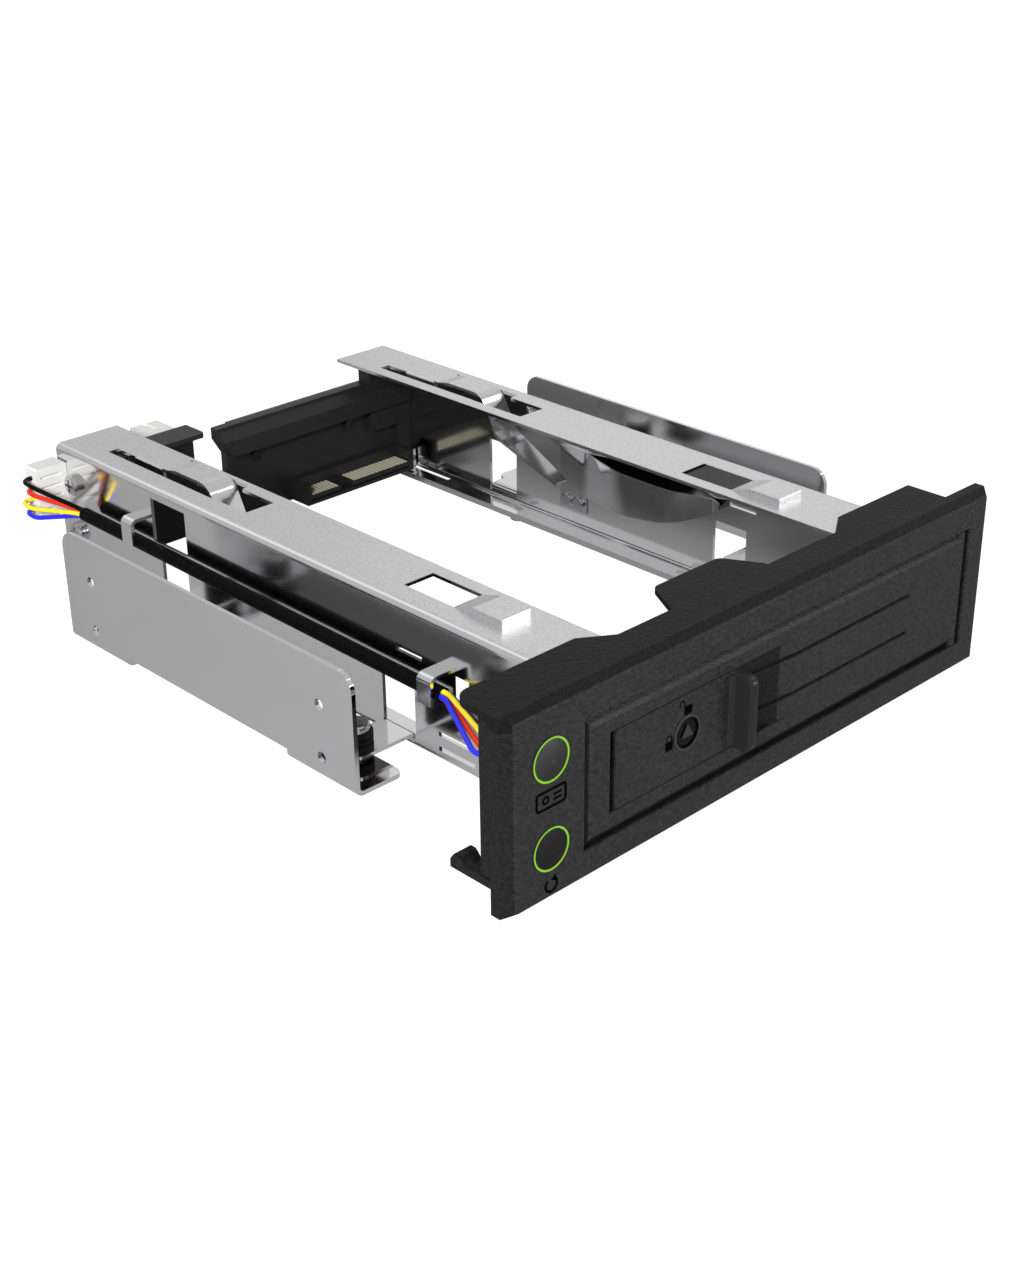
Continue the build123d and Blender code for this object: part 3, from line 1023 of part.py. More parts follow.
def posts():
    """Four steel posts: a shank through the foot, a collar, and a wide head."""
    made = []
    for x, y in damper_places():
        post = rod_z(x, y, BRACKET_FOOT - 0.6, GROMMET_TOP + 0.5, POST_RADIUS)
        post += rod_z(x, y, BRACKET_FOOT + BRACKET_STEEL, BRACKET_FOOT + BRACKET_STEEL + 0.55, 2.3)
        head = rod_z(x, y, GROMMET_TOP + 0.05, GROMMET_TOP + 0.05 + POST_HEAD, POST_HEAD_RADIUS)
        head = fillet(head.edges().sort_by(Axis.Z)[-1], 0.5)
        rivet = rod_z(x, y, BRACKET_FOOT - 0.9, BRACKET_FOOT, 2.3)
        rivet = fillet(rivet.edges().sort_by(Axis.Z)[0], 0.5)
        made.append(post + head + rivet)
    return made


def contact_places():
    """Where the contacts stand: fifteen for power, then seven for data."""
    power = [POWER_END - 0.6 - i * CONTACT_PITCH for i in range(POWER_CONTACTS)]
    data_start = power[-1] - KEY_GAP
    data = [data_start - i * CONTACT_PITCH for i in range(DATA_CONTACTS)]
    return power, data


def drive_receptacle():
    """The receptacle: a ledge with an L shaped key and two contact tongues."""
    power, data = contact_places()
    left = data[-1] - 2.4
    right = power[0] + 2.4
    floor = RECEPTACLE_BASE
    top = floor + RECEPTACLE_HEIGHT
    body = block(left, right, BACK_WALL_FRONT - 1.5, BACK_WALL_REAR - SEAT, floor, top)
    body += block(left, right, RECEPTACLE_FRONT, BACK_WALL_REAR - SEAT, floor, floor + 0.9)
    for group in (power, data):
        low = group[-1] - 1.3
        high = group[0] + 1.3
        tongue = block(low, high, RECEPTACLE_FRONT, BACK_WALL_REAR - 1.0, floor + 1.4, floor + 1.4 + CONTACT_TONGUE)
        body += tongue + block(low, high, BACK_WALL_FRONT - 3.0, BACK_WALL_FRONT, floor, floor + 2.0)
    for x in (left, right - 1.2):
        body += block(x, x + 1.2, RECEPTACLE_FRONT, BACK_WALL_FRONT, floor, top)
    for x in power + data:
        body -= block(x - 0.46, x + 0.46, RECEPTACLE_FRONT + 0.3, BACK_WALL_REAR + 1.0, contact_level() - 0.1, contact_level() + 0.2)
    return body


def contact_level():
    """Height of the upper face of the contact tongues."""
    return RECEPTACLE_BASE + 1.4 + CONTACT_TONGUE


def contacts():
    """Gilt strips in the tongues' grooves; each reaches back to the board."""
    made = []
    power, data = contact_places()
    for x in power + data:
        strip = block(x - 0.45, x + 0.45, RECEPTACLE_FRONT + 0.4, BACK_WALL_REAR - 0.05, contact_level() - 0.09, contact_level() + 0.1)
        made.append(strip)
    return made


def rear_bracket():
    """The moulding that ties the channels: beam, back wall, end blocks and tab."""
    side = CHANNEL_INSIDE - RUNNING
    beam_profile = make_face(Polyline(
        (BEAM_FRONT, BEAM_BOTTOM), (BACK_WALL_REAR, BEAM_BOTTOM), (BACK_WALL_REAR, BEAM_TOP),
        (BEAM_RIDGE, BEAM_TOP), (BEAM_FRONT, BEAM_EDGE), close=True,
    ))
    body = extrude(side_plane(-side) * beam_profile, amount=2 * side)
    body += block(-side, side, BACK_WALL_FRONT, BACK_WALL_REAR, CHANNEL_BOTTOM + STEEL + 0.1, BEAM_TOP)
    ledge_clear = CHANNEL_BOTTOM + STEEL + 0.1
    body += block(BLOCK_INNER, side, BLOCK_FRONT, BACK_WALL_REAR, BEAM_BOTTOM - 6.0, BRACKET_HEAD)
    body += block(-side, -BLOCK_INNER, BLOCK_FRONT, BACK_WALL_REAR, BEAM_BOTTOM - 6.0, BRACKET_HEAD)
    for x in (-side, side - 4.0):
        body += block(x, x + 4.0, BLOCK_FRONT, REAR_BRACKET_BACK, ledge_clear, BRACKET_HEAD)
    notch = make_face(Polyline(
        (NOTCH_LEFT, NOTCH_BOTTOM), (BEAM_END[0][0], NOTCH_BOTTOM), BEAM_END[0], BEAM_END[1],
        (BEAM_END[1][0], BRACKET_HEAD + 1.0), (NOTCH_LEFT, BRACKET_HEAD + 1.0), close=True,
    ))
    body -= extrude(front_plane(0, BACK_WALL_REAR + 1.0, 0) * notch, amount=12.0)
    head = block(-side, -TAB_INNER, TAB_FRONT, TAB_REAR, BRACKET_HEAD - 1.2, BRACKET_HEAD)
    front_corner = [e for e in head.edges() if abs(e.tangent_at(0.5).Z) > 0.99 and e.center().Y < TAB_FRONT + 0.1]
    body += fillet(front_corner, 1.0)
    body += block(-side, -TAB_INNER, TAB_REAR - TAB_WALL, TAB_REAR, BEAM_BOTTOM - 6.0, BRACKET_HEAD - 0.1)
    for x in GUSSETS:
        gusset = make_face(Polyline(
            (BACK_WALL_FRONT + 0.2, BEAM_BOTTOM + 0.1), (BEAM_FRONT + 0.6, BEAM_BOTTOM + 0.1),
            (BACK_WALL_FRONT + 0.2, BEAM_BOTTOM - 5.0), close=True,
        ))
        body += extrude(side_plane(x - 0.8) * gusset, amount=1.6)

    envelope = block(-side, side, TAB_FRONT - 1.0, REAR_BRACKET_BACK + 1.0, ledge_clear, BRACKET_HEAD)
    envelope = fillet([e for e in envelope.edges() if abs(e.tangent_at(0.5).Y) > 0.99], 1.1)
    body = body & envelope
    power, data = contact_places()
    left = data[-1] - 2.4 - RUNNING
    right = power[0] + 2.4 + RUNNING
    low = RECEPTACLE_BASE - RUNNING
    body -= block(left, right, BLOCK_FRONT - 1.0, BACK_WALL_REAR + 1.0, low, RECEPTACLE_BASE + RECEPTACLE_HEIGHT + RUNNING)
    for z in SCREW_HEIGHTS:
        for x in (-side - 1.0, side - 8.0):
            body -= rod_x(SCREW_Y, z, x, x + 9.0, 1.05)
    body -= block(-side - 1.0, -side + 6.5, HEADER_FRONT - RUNNING, REAR_BRACKET_BACK + 1.0, *header_span(RUNNING))
    for x, z in BOARD_SCREWS:
        body -= rod_y(x, z, BACK_WALL_FRONT + 0.4, BACK_WALL_REAR + 1.0, 0.9)
    return body


def header_span(extra):
    return (PLUG_TOP - PLUG_HEIGHT + 1.2 - extra, PLUG_TOP - 1.2 + extra)


def backplane_board():
    """The circuit board behind the bracket's back wall."""
    half = CHANNEL_INSIDE - 4.0 - 0.5
    board = block(-half, half, BACK_WALL_REAR, BOARD_REAR, MAIN_BOARD_BOTTOM, MAIN_BOARD_TOP)
    notch = (NOTCH_LEFT, BOARD_NOTCH_RIGHT, BACK_WALL_REAR - 1.0, BOARD_REAR + 1.0, NOTCH_BOTTOM, MAIN_BOARD_TOP + 1.0)
    board -= block(*notch)
    for x, z in BOARD_SCREWS:
        board -= rod_y(x, z, BACK_WALL_REAR - 1.0, BOARD_REAR + 1.0, 1.25)
    return board


def backplane_screws():
    made = []
    for x, z in BOARD_SCREWS:
        screw = rod_y(x, z, BACK_WALL_FRONT + 0.6, BOARD_REAR + 0.3, 0.89)
        head = rod_y(x, z, BOARD_REAR, BOARD_REAR + 1.5, 2.2)
        head = fillet(head.edges().sort_by(Axis.Y)[-1], 0.7)
        head -= block(x - 0.3, x + 0.3, BOARD_REAR + 0.8, BOARD_REAR + 2.0, z - 1.4, z + 1.4)
        head -= block(x - 1.4, x + 1.4, BOARD_REAR + 0.8, BOARD_REAR + 2.0, z - 0.3, z + 0.3)
        made.append(screw + head)
    return made


def cable_port(centre, contact_count, spread):
    """A rear plug port: a rounded shroud with a tongue and its contacts inside."""
    half = contact_count * CONTACT_PITCH / 2 + 2.2
    low = PORT_FLOOR
    back = BOARD_REAR + PORT_DEPTH
    shroud = block(centre - half, centre + half, BOARD_REAR, back, low, low + PORT_HEIGHT)
    verticals = [e for e in shroud.edges() if abs(e.tangent_at(0.5).Y) > 0.99]
    shroud = fillet(verticals, 0.8)
    inside = block(
        centre - half + PORT_WALL, centre + half - PORT_WALL, BOARD_REAR + 1.2, back + 1.0,
        low + PORT_WALL, low + PORT_HEIGHT - PORT_WALL,
    )
    shroud -= inside
    tongue = block(centre - half + spread, centre + half - spread, BOARD_REAR + 1.0, back - 0.6, low + 2.4, low + 3.6)
    shroud += tongue
    shroud += block(centre - half + spread, centre - half + spread + 1.1, BOARD_REAR + 1.0, back - 0.6, low + 2.0, low + 4.4)
    return shroud


def port_contacts():
    made = []
    for centre, count in ((DATA_PORT_X, DATA_CONTACTS), (POWER_PORT_X, POWER_CONTACTS)):
        for i in range(count):
            x = centre + (i - (count - 1) / 2) * CONTACT_PITCH + 0.4
            low = PORT_FLOOR + 3.6
            made.append(block(x - 0.3, x + 0.3, BOARD_REAR + 1.25, BOARD_REAR + PORT_DEPTH - 0.8, low, low + 0.12))
    return made


def cable_header():
    """The white header behind the left rail, open at its rear."""
    low = HEADER_TOP - HEADER_HEIGHT
    right = HEADER_LEFT + HEADER_WIDTH
    body = block(HEADER_LEFT, right, BOARD_REAR, REAR_REACH, low, HEADER_TOP)
    body -= block(HEADER_LEFT + 1.0, right - 1.0, BOARD_REAR + 1.8, REAR_REACH + 1.0, low + 1.0, HEADER_TOP - 1.0)
    for x in (HEADER_LEFT + 3.2, right - 4.4):
        body -= block(x, x + 1.2, BOARD_REAR + 3.0, REAR_REACH + 1.0, HEADER_TOP - 1.5, HEADER_TOP + 1.0)
    return body


def cable_header_pins():
    made = []
    low = HEADER_TOP - HEADER_HEIGHT
    for i in range(4):
        x = HEADER_LEFT + HEADER_WIDTH / 2 + (i - 1.5) * 2.54
        z = low + HEADER_HEIGHT / 2
        made.append(block(x - 0.32, x + 0.32, BOARD_REAR + 1.8, REAR_REACH - 1.4, z - 0.32, z + 0.32))
    return made


def harness_header():
    """The side header on the board, which looks out through the left wall's notch."""
    low, high = header_span(0.0)
    left = -CHANNEL_OUTSIDE + 0.1
    body = block(left, left + 6.3, HEADER_FRONT, HEADER_FRONT + PLUG_DEPTH - 0.6, low, high)
    return body


def harness_header_pins():
    made = []
    left = -CHANNEL_OUTSIDE + 0.1
    for z in WIRE_HEIGHTS.values():
        y = PLUG_FRONT + PLUG_DEPTH / 2
        made.append(block(left - 4.6, left, y - 0.3, y + 0.3, z - 0.3, z + 0.3))
    return made


def harness_connector():
    """The white plug outside the left wall, with ribs, a latch and wire holes."""
    right = -CHANNEL_OUTSIDE - 0.05
    left = right - PLUG_WIDTH
    low = PLUG_TOP - PLUG_HEIGHT
    back = PLUG_FRONT + PLUG_DEPTH
    plug = block(left, right, PLUG_FRONT, back, low, PLUG_TOP)
    plug = chamfer([e for e in plug.edges() if abs(e.tangent_at(0.5).Y) > 0.99], 0.4)
    y = PLUG_FRONT + PLUG_DEPTH / 2
    for z in WIRE_HEIGHTS.values():
        plug -= block(right - 5.0, right + 1.0, y - 0.31, y + 0.31, z - 0.31, z + 0.31)
        plug -= rod_x(y, z, left - 1.0, left + 2.6, WIRE_RADIUS + SEAT)
    for z in (low + 2.2, low + 5.0, low + 7.6, low + 10.2):
        plug -= block(left + 1.0, right - 1.5, PLUG_FRONT - 0.5, PLUG_FRONT + 0.5, z - 0.35, z + 0.35)
    return plug


def wire_route(name):
    """Corner points and bend radii of one wire, from the plug to the button board."""
    x_in = -CHANNEL_OUTSIDE - 0.05 - PLUG_WIDTH
    y_in = PLUG_FRONT + PLUG_DEPTH / 2
    z_in = WIRE_HEIGHTS[name]
    rear_y, rear_z = SLEEVE_REAR
    front_y, front_z = SLEEVE_FRONT
    swing, turn_y = WIRE_SWING[name]
    out_x = x_in - swing
    x_end, z_end = WIRE_LANDINGS[name]
    points = [
        (x_in + 2.5, y_in, z_in),
        (out_x, y_in, z_in),
        (out_x, turn_y, z_in - 0.4),
    ]
    for step in range(WIRE_STEPS + 1):
        part = step / WIRE_STEPS
        angle = math.radians(WIRE_ANGLES[name] + WIRE_TWIST * part)
        y = rear_y + 1.5 + (front_y - rear_y - 3.0) * part
        z = rear_z + (front_z - rear_z) * part
        points.append((SLEEVE_X + WIRE_LAY * math.cos(angle), y, z + WIRE_LAY * math.sin(angle)))
    points += [(x_end, 13.0, z_end), (x_end, BOARD_FRONT + 0.3, z_end)]
    return points, WIRE_BENDS


def wire(name):
    """One insulated wire, whole from end to end."""
    points, radii = wire_route(name)
    path = FilletPolyline(*points, radius=radii)
    first = Vector(*points[1]) - Vector(*points[0])
    return sweep(Plane(origin=points[0], z_dir=first) * Circle(WIRE_RADIUS), path=path)


def harness_sleeve():
    """The tube that holds the four wires."""
    start = Vector(SLEEVE_X, *SLEEVE_REAR)
    finish = Vector(SLEEVE_X, *SLEEVE_FRONT)
    run = finish - start
    tube = extrude(Plane(origin=start, z_dir=run) * Circle(SLEEVE_RADIUS), amount=run.length)
    return tube - extrude(Plane(origin=start - run * 0.01, z_dir=run) * Circle(SLEEVE_BORE), amount=run.length * 1.02)


def bracket_screws():
    """Pan head screws that hold the rear bracket between the channels."""
    made = []
    for side in (-1, 1):
        for z in SCREW_HEIGHTS:
            tip = CHANNEL_INSIDE - 6.0
            screw = rod_x(SCREW_Y, z, tip, CHANNEL_INSIDE - 0.1, 1.04)
            screw += rod_x(SCREW_Y, z, CHANNEL_INSIDE - RUNNING / 2, CHANNEL_OUTSIDE + 0.2, SCREW_RADIUS)
            screw += rod_x(SCREW_Y, z, CHANNEL_INSIDE - 0.2, CHANNEL_INSIDE, 1.04)
            head = rod_x(SCREW_Y, z, CHANNEL_OUTSIDE, CHANNEL_OUTSIDE + SCREW_HEAD, SCREW_HEAD_RADIUS)
            head = fillet(head.edges().sort_by(Axis.X)[-1], 0.9)
            end = CHANNEL_OUTSIDE + SCREW_HEAD
            head -= block(end - 0.8, end + 0.1, SCREW_Y - 1.5, SCREW_Y + 1.5, z - 0.35, z + 0.35)
            head -= block(end - 0.8, end + 0.1, SCREW_Y - 0.35, SCREW_Y + 0.35, z - 1.5, z + 1.5)
            screw += head
            made.append(screw if side > 0 else mirror(screw, about=Plane.YZ))
    return made


def bezel_screws():
    """Screws that hold the channels' ears to the bezel's bosses."""
    made = []
    back = EAR_Y + STEEL
    for side in (-1, 1):
        for z in EAR_SCREWS[side_name(side)]:
            x = ear_screw_x(side)
            screw = rod_y(x, z, EAR_Y - 5.5, back + 0.4, EAR_SCREW_RADIUS)
            head = rod_y(x, z, back, back + 1.4, 2.0)
            head = fillet(head.edges().sort_by(Axis.Y)[-1], 0.7)
            head -= block(x - 0.3, x + 0.3, back + 0.7, back + 2.0, z - 1.2, z + 1.2)
            head -= block(x - 1.2, x + 1.2, back + 0.7, back + 2.0, z - 0.3, z + 0.3)
            made.append(screw + head)
    return made


def ejector_middle():
    return (EJECTOR_INNER + EJECTOR_OUTER) / 2


def lug_front():
    """Front face of the lug that stands behind the drive."""
    return BEAM_FRONT - 0.3 - EJECTOR_STEEL


def ejector_slider():
    """The slider under the right ledge: crank slot in front, lug at the rear."""
    top = CHANNEL_BOTTOM - EJECTOR_GAP
    floor = top - EJECTOR_STEEL
    rear = lug_front() + EJECTOR_STEEL
    plan = make_face(Polyline(
        (EJECTOR_INNER, rear), (EJECTOR_INNER, 19.4), (ARM_RIGHT, 19.4), (ARM_RIGHT, 28.0),
        (EJECTOR_OUTER + 4.0, 28.0), (EJECTOR_OUTER, 34.0), (EJECTOR_OUTER, rear), close=True,
    ))
    plan = fillet([nearest(plan, ARM_RIGHT, 28.0), nearest(plan, EJECTOR_INNER, 19.4)], 1.5)
    slider = extrude(Pos(0, 0, floor) * plan, amount=EJECTOR_STEEL)
    slider += block(ARM_LEFT, ARM_RIGHT, 19.4, 19.4 + EJECTOR_STEEL, floor, ARM_Z + EJECTOR_STEEL)
    front = CRANK_Y - CRANK_PIN_RADIUS - SLOT_PLAY - 1.7
    arm = block(ARM_LEFT, ARM_RIGHT, front, 19.4 + EJECTOR_STEEL, ARM_Z, ARM_Z + EJECTOR_STEEL)
    corners = [e for e in arm.edges() if abs(e.tangent_at(0.5).Z) > 0.99 and e.center().Y < front + 0.1]
    arm = fillet(corners, 2.0)
    shy = make_face(Polyline(
        (ARM_RIGHT - ARM_CUT, front - 0.1), (ARM_RIGHT + 0.1, front - 0.1), (ARM_RIGHT + 0.1, front + 1.22 * ARM_CUT), close=True,
    ))
    slider += arm - extrude(Pos(0, 0, ARM_Z - 1.0) * shy, amount=3.0)
    span = (HINGE_X - CRANK_RADIUS - CRANK_PIN_RADIUS - 0.15, CRANK_X + CRANK_PIN_RADIUS + 0.15)
    reach = CRANK_PIN_RADIUS + SLOT_PLAY
    slot = block(*span, CRANK_Y - reach, CRANK_Y + reach, ARM_Z - 1.0, ARM_Z + 2.0)
    slider -= fillet([e for e in slot.edges() if abs(e.tangent_at(0.5).Z) > 0.99], 0.9)
    slider += block(LUG_INNER, LUG_OUTER, lug_front(), rear, floor, LUG_TOP)
    for y in EJECTOR_RIVETS:
        start = y - EJECTOR_RIVET_RADIUS - 0.2
        end = y + EJECTOR_TRAVEL + EJECTOR_RIVET_RADIUS + 0.2
        half = EJECTOR_RIVET_RADIUS + RUNNING
        slot = block(ejector_middle() - half, ejector_middle() + half, start, end, floor - 1.0, top + 0.1)
        slider -= fillet([e for e in slot.edges() if abs(e.tangent_at(0.5).Z) > 0.99], half - 0.02)
    return slider


def ejector_rivets():
    """Shouldered rivets that carry the slider under the ledge."""
    made = []
    floor = CHANNEL_BOTTOM - EJECTOR_GAP - EJECTOR_STEEL
    for y in EJECTOR_RIVETS:
        rivet = rod_z(ejector_middle(), y, floor - 0.3, CHANNEL_BOTTOM + STEEL, EJECTOR_RIVET_RADIUS)
        head = rod_z(ejector_middle(), y, floor - 1.0, floor - 0.12, 2.2)
        made.append(rivet + fillet(head.edges().sort_by(Axis.Z)[0], 0.5))
    return made


PARTS = {
    "bezel_frame": lambda: [bezel_frame()],
    "upper_light_ring": lambda: [light_ring(BUTTON_HEIGHTS["upper"])],
    "lower_light_ring": lambda: [light_ring(BUTTON_HEIGHTS["lower"])],
    "upper_button": lambda: [push_button(BUTTON_HEIGHTS["upper"])],
    "lower_button": lambda: [push_button(BUTTON_HEIGHTS["lower"])],
    "button_board": lambda: [button_board()],
    "button_switches": button_switches,
    "button_board_screws": board_screws,
    "door_panel": lambda: [door_panel()],
    "door_bumpers": door_bumpers,
    "door_hinge_pins": hinge_pins,
    "latch_lever": lambda: [latch_lever()],
    "lever_pivot_pins": lever_pins,
    "lock_cylinder": lambda: [lock_cylinder()],
    "lock_cam": lambda: [lock_cam()],
    "cam_screw": lambda: [cam_screw()],
    "left_channel": lambda: [channel(-1)],
    "right_channel": lambda: [channel(1)],
    "left_side_spring": lambda: [side_spring(-1)],
    "right_side_spring": lambda: [side_spring(1)],
    "side_spring_rivets": side_spring_rivets,
    "left_mount_bracket": lambda: [mount_bracket(-1)],
    "right_mount_bracket": lambda: [mount_bracket(1)],
    "damper_grommets": grommets,
    "damper_posts": posts,
    "rear_bracket": lambda: [rear_bracket()],
    "backplane_board": lambda: [backplane_board()],
    "backplane_screws": backplane_screws,
    "drive_receptacle": lambda: [drive_receptacle()],
    "receptacle_contacts": contacts,
    "rear_data_port": lambda: [cable_port(DATA_PORT_X, DATA_CONTACTS, 1.6)],
    "rear_power_port": lambda: [cable_port(POWER_PORT_X, POWER_CONTACTS, 1.6)],
    "port_contacts": port_contacts,
    "rear_cable_header": lambda: [cable_header()],
    "cable_header_pins": cable_header_pins,
    "harness_header": lambda: [harness_header()],
    "harness_header_pins": harness_header_pins,
    "harness_connector": lambda: [harness_connector()],
    "harness_sleeve": lambda: [harness_sleeve()],
    "wire_black": lambda: [wire("black")],
    "wire_red": lambda: [wire("red")],
    "wire_yellow": lambda: [wire("yellow")],
    "wire_blue": lambda: [wire("blue")],
    "bracket_screws": bracket_screws,
    "bezel_screws": bezel_screws,
    "ejector_slider": lambda: [ejector_slider()],
    "ejector_rivets": ejector_rivets,
}

os.makedirs("parts", exist_ok=True)
for node, make in PARTS.items():
    solids = [s.moved(Location((0, -MIDDLE_Y, 0))) for shape in make() for s in shape.solids()]
    whole = solids[0] if len(solids) == 1 else Compound(children=solids)
    export_step(whole, f"parts/{node}.step")
    print(node, len(solids), round(sum(s.volume for s in solids), 1))
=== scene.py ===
import math
import bmesh
import bpy
import numpy as np
from mathutils import Matrix, Vector


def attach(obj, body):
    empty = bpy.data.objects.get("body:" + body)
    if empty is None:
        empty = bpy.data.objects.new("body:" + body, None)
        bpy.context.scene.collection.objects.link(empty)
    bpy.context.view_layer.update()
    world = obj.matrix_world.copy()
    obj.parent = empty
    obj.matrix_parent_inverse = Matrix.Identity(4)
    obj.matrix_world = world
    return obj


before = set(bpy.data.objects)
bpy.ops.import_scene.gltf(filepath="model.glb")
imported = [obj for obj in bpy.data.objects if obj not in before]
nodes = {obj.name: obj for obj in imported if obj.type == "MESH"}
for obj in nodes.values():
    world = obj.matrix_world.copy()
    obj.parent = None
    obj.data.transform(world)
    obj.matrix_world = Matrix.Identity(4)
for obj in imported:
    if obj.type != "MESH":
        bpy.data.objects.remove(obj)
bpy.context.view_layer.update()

MM = 0.001
# The row's origin lies under the middle of the cage, this far behind the bezel's shoulder.
MIDDLE = 83.4

# Places on the cage in millimetres, with Y counted from the bezel's shoulder
FACE = -4.8
FACE_EDGE = -4.3
PROUD_OF_FACE = -5.0
PLUG_DEPTH = -4.9
BEZEL_END = 70.5
BEZEL_TOP = 39.0
BUTTON_X = -63.4
UPPER_BUTTON_Z = 30.4
LOWER_BUTTON_Z = 11.6
LIT_RADIUS = 4.55
RAIL_TOP = 39.5
# The part of a rail's bend that counts as its top
BEND_SHARE = 0.12
# Places that no piece reaches
FAR_FRONT = -100.0
FAR_ABOVE = 1000.0

# Colours, in linear light
BLACK = (0.0, 0.0, 0.0)
WHITE = (1.0, 1.0, 1.0)
CHARCOAL = ((0.0145, 0.0145, 0.0147), (0.0275, 0.0275, 0.0278))
SATIN = ((0.010, 0.010, 0.0102), (0.015, 0.015, 0.0152))
STEEL = (0.87, 0.87, 0.875)
FASTENER = (0.72, 0.72, 0.73)
SPRING = (0.74, 0.74, 0.75)
RUBBER = ((0.012, 0.012, 0.012), (0.028, 0.028, 0.028))
SLEEVE = ((0.001, 0.001, 0.001), (0.0035, 0.0035, 0.0035))
# The lock plug's face is painted lighter as sheen, its recess near black as shade
PLUG_FACE_SHEEN, PLUG_RECESS_SHADE = (0.03, 0.03, 0.0305), (0.0008, 0.0008, 0.0008)
INK = ((0.0006, 0.0006, 0.0006), (0.0016, 0.0016, 0.0016))
CAP_SHADED = (0.004, 0.004, 0.0041)
RING = ((0.095, 0.25, 0.004), (0.11, 0.28, 0.005))
RING_LIGHT = ((0.19, 0.47, 0.007), (0.22, 0.52, 0.008))
RING_RIM = (0.012, 0.013, 0.012)
BOARD = ((0.006, 0.07, 0.028), (0.015, 0.14, 0.05))
GILT = ((0.60, 0.55, 0.40), (0.78, 0.74, 0.58))
NYLON = ((0.72, 0.72, 0.69), (0.82, 0.82, 0.79))
FLOOR_FILL, FLOOR_MIRRORED = (0.24, 0.24, 0.24), (0.40, 0.40, 0.404)
WORLD_FILL, WORLD_MIRRORED = (0.16, 0.16, 0.162), (0.53, 0.53, 0.535)


def at(x, y, z):
    """A point given in millimetres, with Y counted from the bezel's shoulder, in the row frame."""
    return Vector((x * MM, (y - MIDDLE) * MM, z * MM))


def from_middle(y):
    """A place along Y counted from the bezel's shoulder in millimetres, as an object coordinate."""
    return (y - MIDDLE) * MM


# Shader arithmetic

class Value:
    """A number that varies over a surface. Arithmetic on it adds Math nodes."""

    def __init__(self, finish, socket):
        self.finish = finish
        self.socket = socket

    def maths(self, operation, *numbers):
        settings = {"operation": operation}
        return self.finish.add("ShaderNodeMath", settings, dict(enumerate(numbers)), 0)

    def __add__(self, other):
        return self.maths("ADD", self, other)

    def __sub__(self, other):
        return self.maths("SUBTRACT", self, other)

    def __rsub__(self, other):
        return self.maths("SUBTRACT", other, self)

    def __mul__(self, other):
        return self.maths("MULTIPLY", self, other)

    def __pow__(self, other):
        return self.maths("POWER", self, other)

    def __abs__(self):
        return self.maths("ABSOLUTE", self)

    def __lt__(self, other):
        return self.maths("LESS_THAN", self, other)

    def __gt__(self, other):
        return self.maths("GREATER_THAN", self, other)

    def sine(self):
        return self.maths("SINE", self)

    def limited(self):
        """The value kept between 0 and 1."""
        return self.finish.add("ShaderNodeClamp", {}, {0: self}, 0)

    __radd__ = __add__


# The sockets of a Mix node that mixes colours
MIX_SHARE, MIX_FIRST, MIX_SECOND, MIX_RESULT = 0, 6, 7, 2


def colour4(colour):
    """A colour with its alpha, or a varying colour as it is."""
    return colour if isinstance(colour, Value) else (*colour, 1.0)


class Finish:
    """A material under construction, made of one principled shader and what feeds it."""

    def __init__(self, name, **constants):
        self.material = bpy.data.materials.new(name)
        self.material.use_nodes = True
        self.tree = self.material.node_tree
        self.shader = self.tree.nodes["Principled BSDF"]
        for socket, number in constants.items():
            self.set(socket.replace("_", " "), number)

    def add(self, kind, settings, inputs, output=0):
        """Adds a node, with its settings first and then its socket values or links."""
        node = self.tree.nodes.new(kind)
        for key, setting in settings.items():
            setattr(node, key, setting)
        for key, number in inputs.items():
            self.feed(node.inputs[key], number)
        return Value(self, node.outputs[output])

    def feed(self, socket, number):
        if isinstance(number, Value):
            self.tree.links.new(number.socket, socket)
        else:
            socket.default_value = number

    def set(self, socket, number):
        self.feed(self.shader.inputs[socket], number)

    def place(self):
        """Object coordinates, in metres."""
        return self.add("ShaderNodeTexCoord", {}, {}, "Object")

    def axes(self, place):
        """The place's X, Y and Z."""
        node = self.tree.nodes.new("ShaderNodeSeparateXYZ")
        self.feed(node.inputs[0], place)
        return [Value(self, output) for output in node.outputs]

    def stretched(self, place, scale):
        """The place scaled along each axis."""
        return self.add("ShaderNodeMapping", {}, {"Vector": place, "Scale": scale})

    def noise(self, place, size, detail=2.0, roughness=0.5):
        """Cloudy noise with features of a given size in millimetres."""
        inputs = {"Vector": place, "Scale": 1.0 / (size * MM), "Detail": detail, "Roughness": roughness}
        return self.add("ShaderNodeTexNoise", {}, inputs, "Fac")

    def mix(self, share, first, second):
        """A colour between two, by a share from 0 to 1."""
        inputs = {MIX_SHARE: share, MIX_FIRST: colour4(first), MIX_SECOND: colour4(second)}
        return self.add("ShaderNodeMix", {"data_type": "RGBA"}, inputs, MIX_RESULT)

    def rough(self, level, pattern, span):
        """A roughness that starts at a level and grows by a span with a pattern."""
        self.set("Roughness", level + pattern * span)

    def bump(self, height, depth):
        """Relief of a given depth in millimetres."""
        inputs = {"Height": height, "Distance": depth * MM, "Strength": 1.0}
        self.set("Normal", self.add("ShaderNodeBump", {}, inputs))


# Finishes. Sizes and depths are in millimetres.

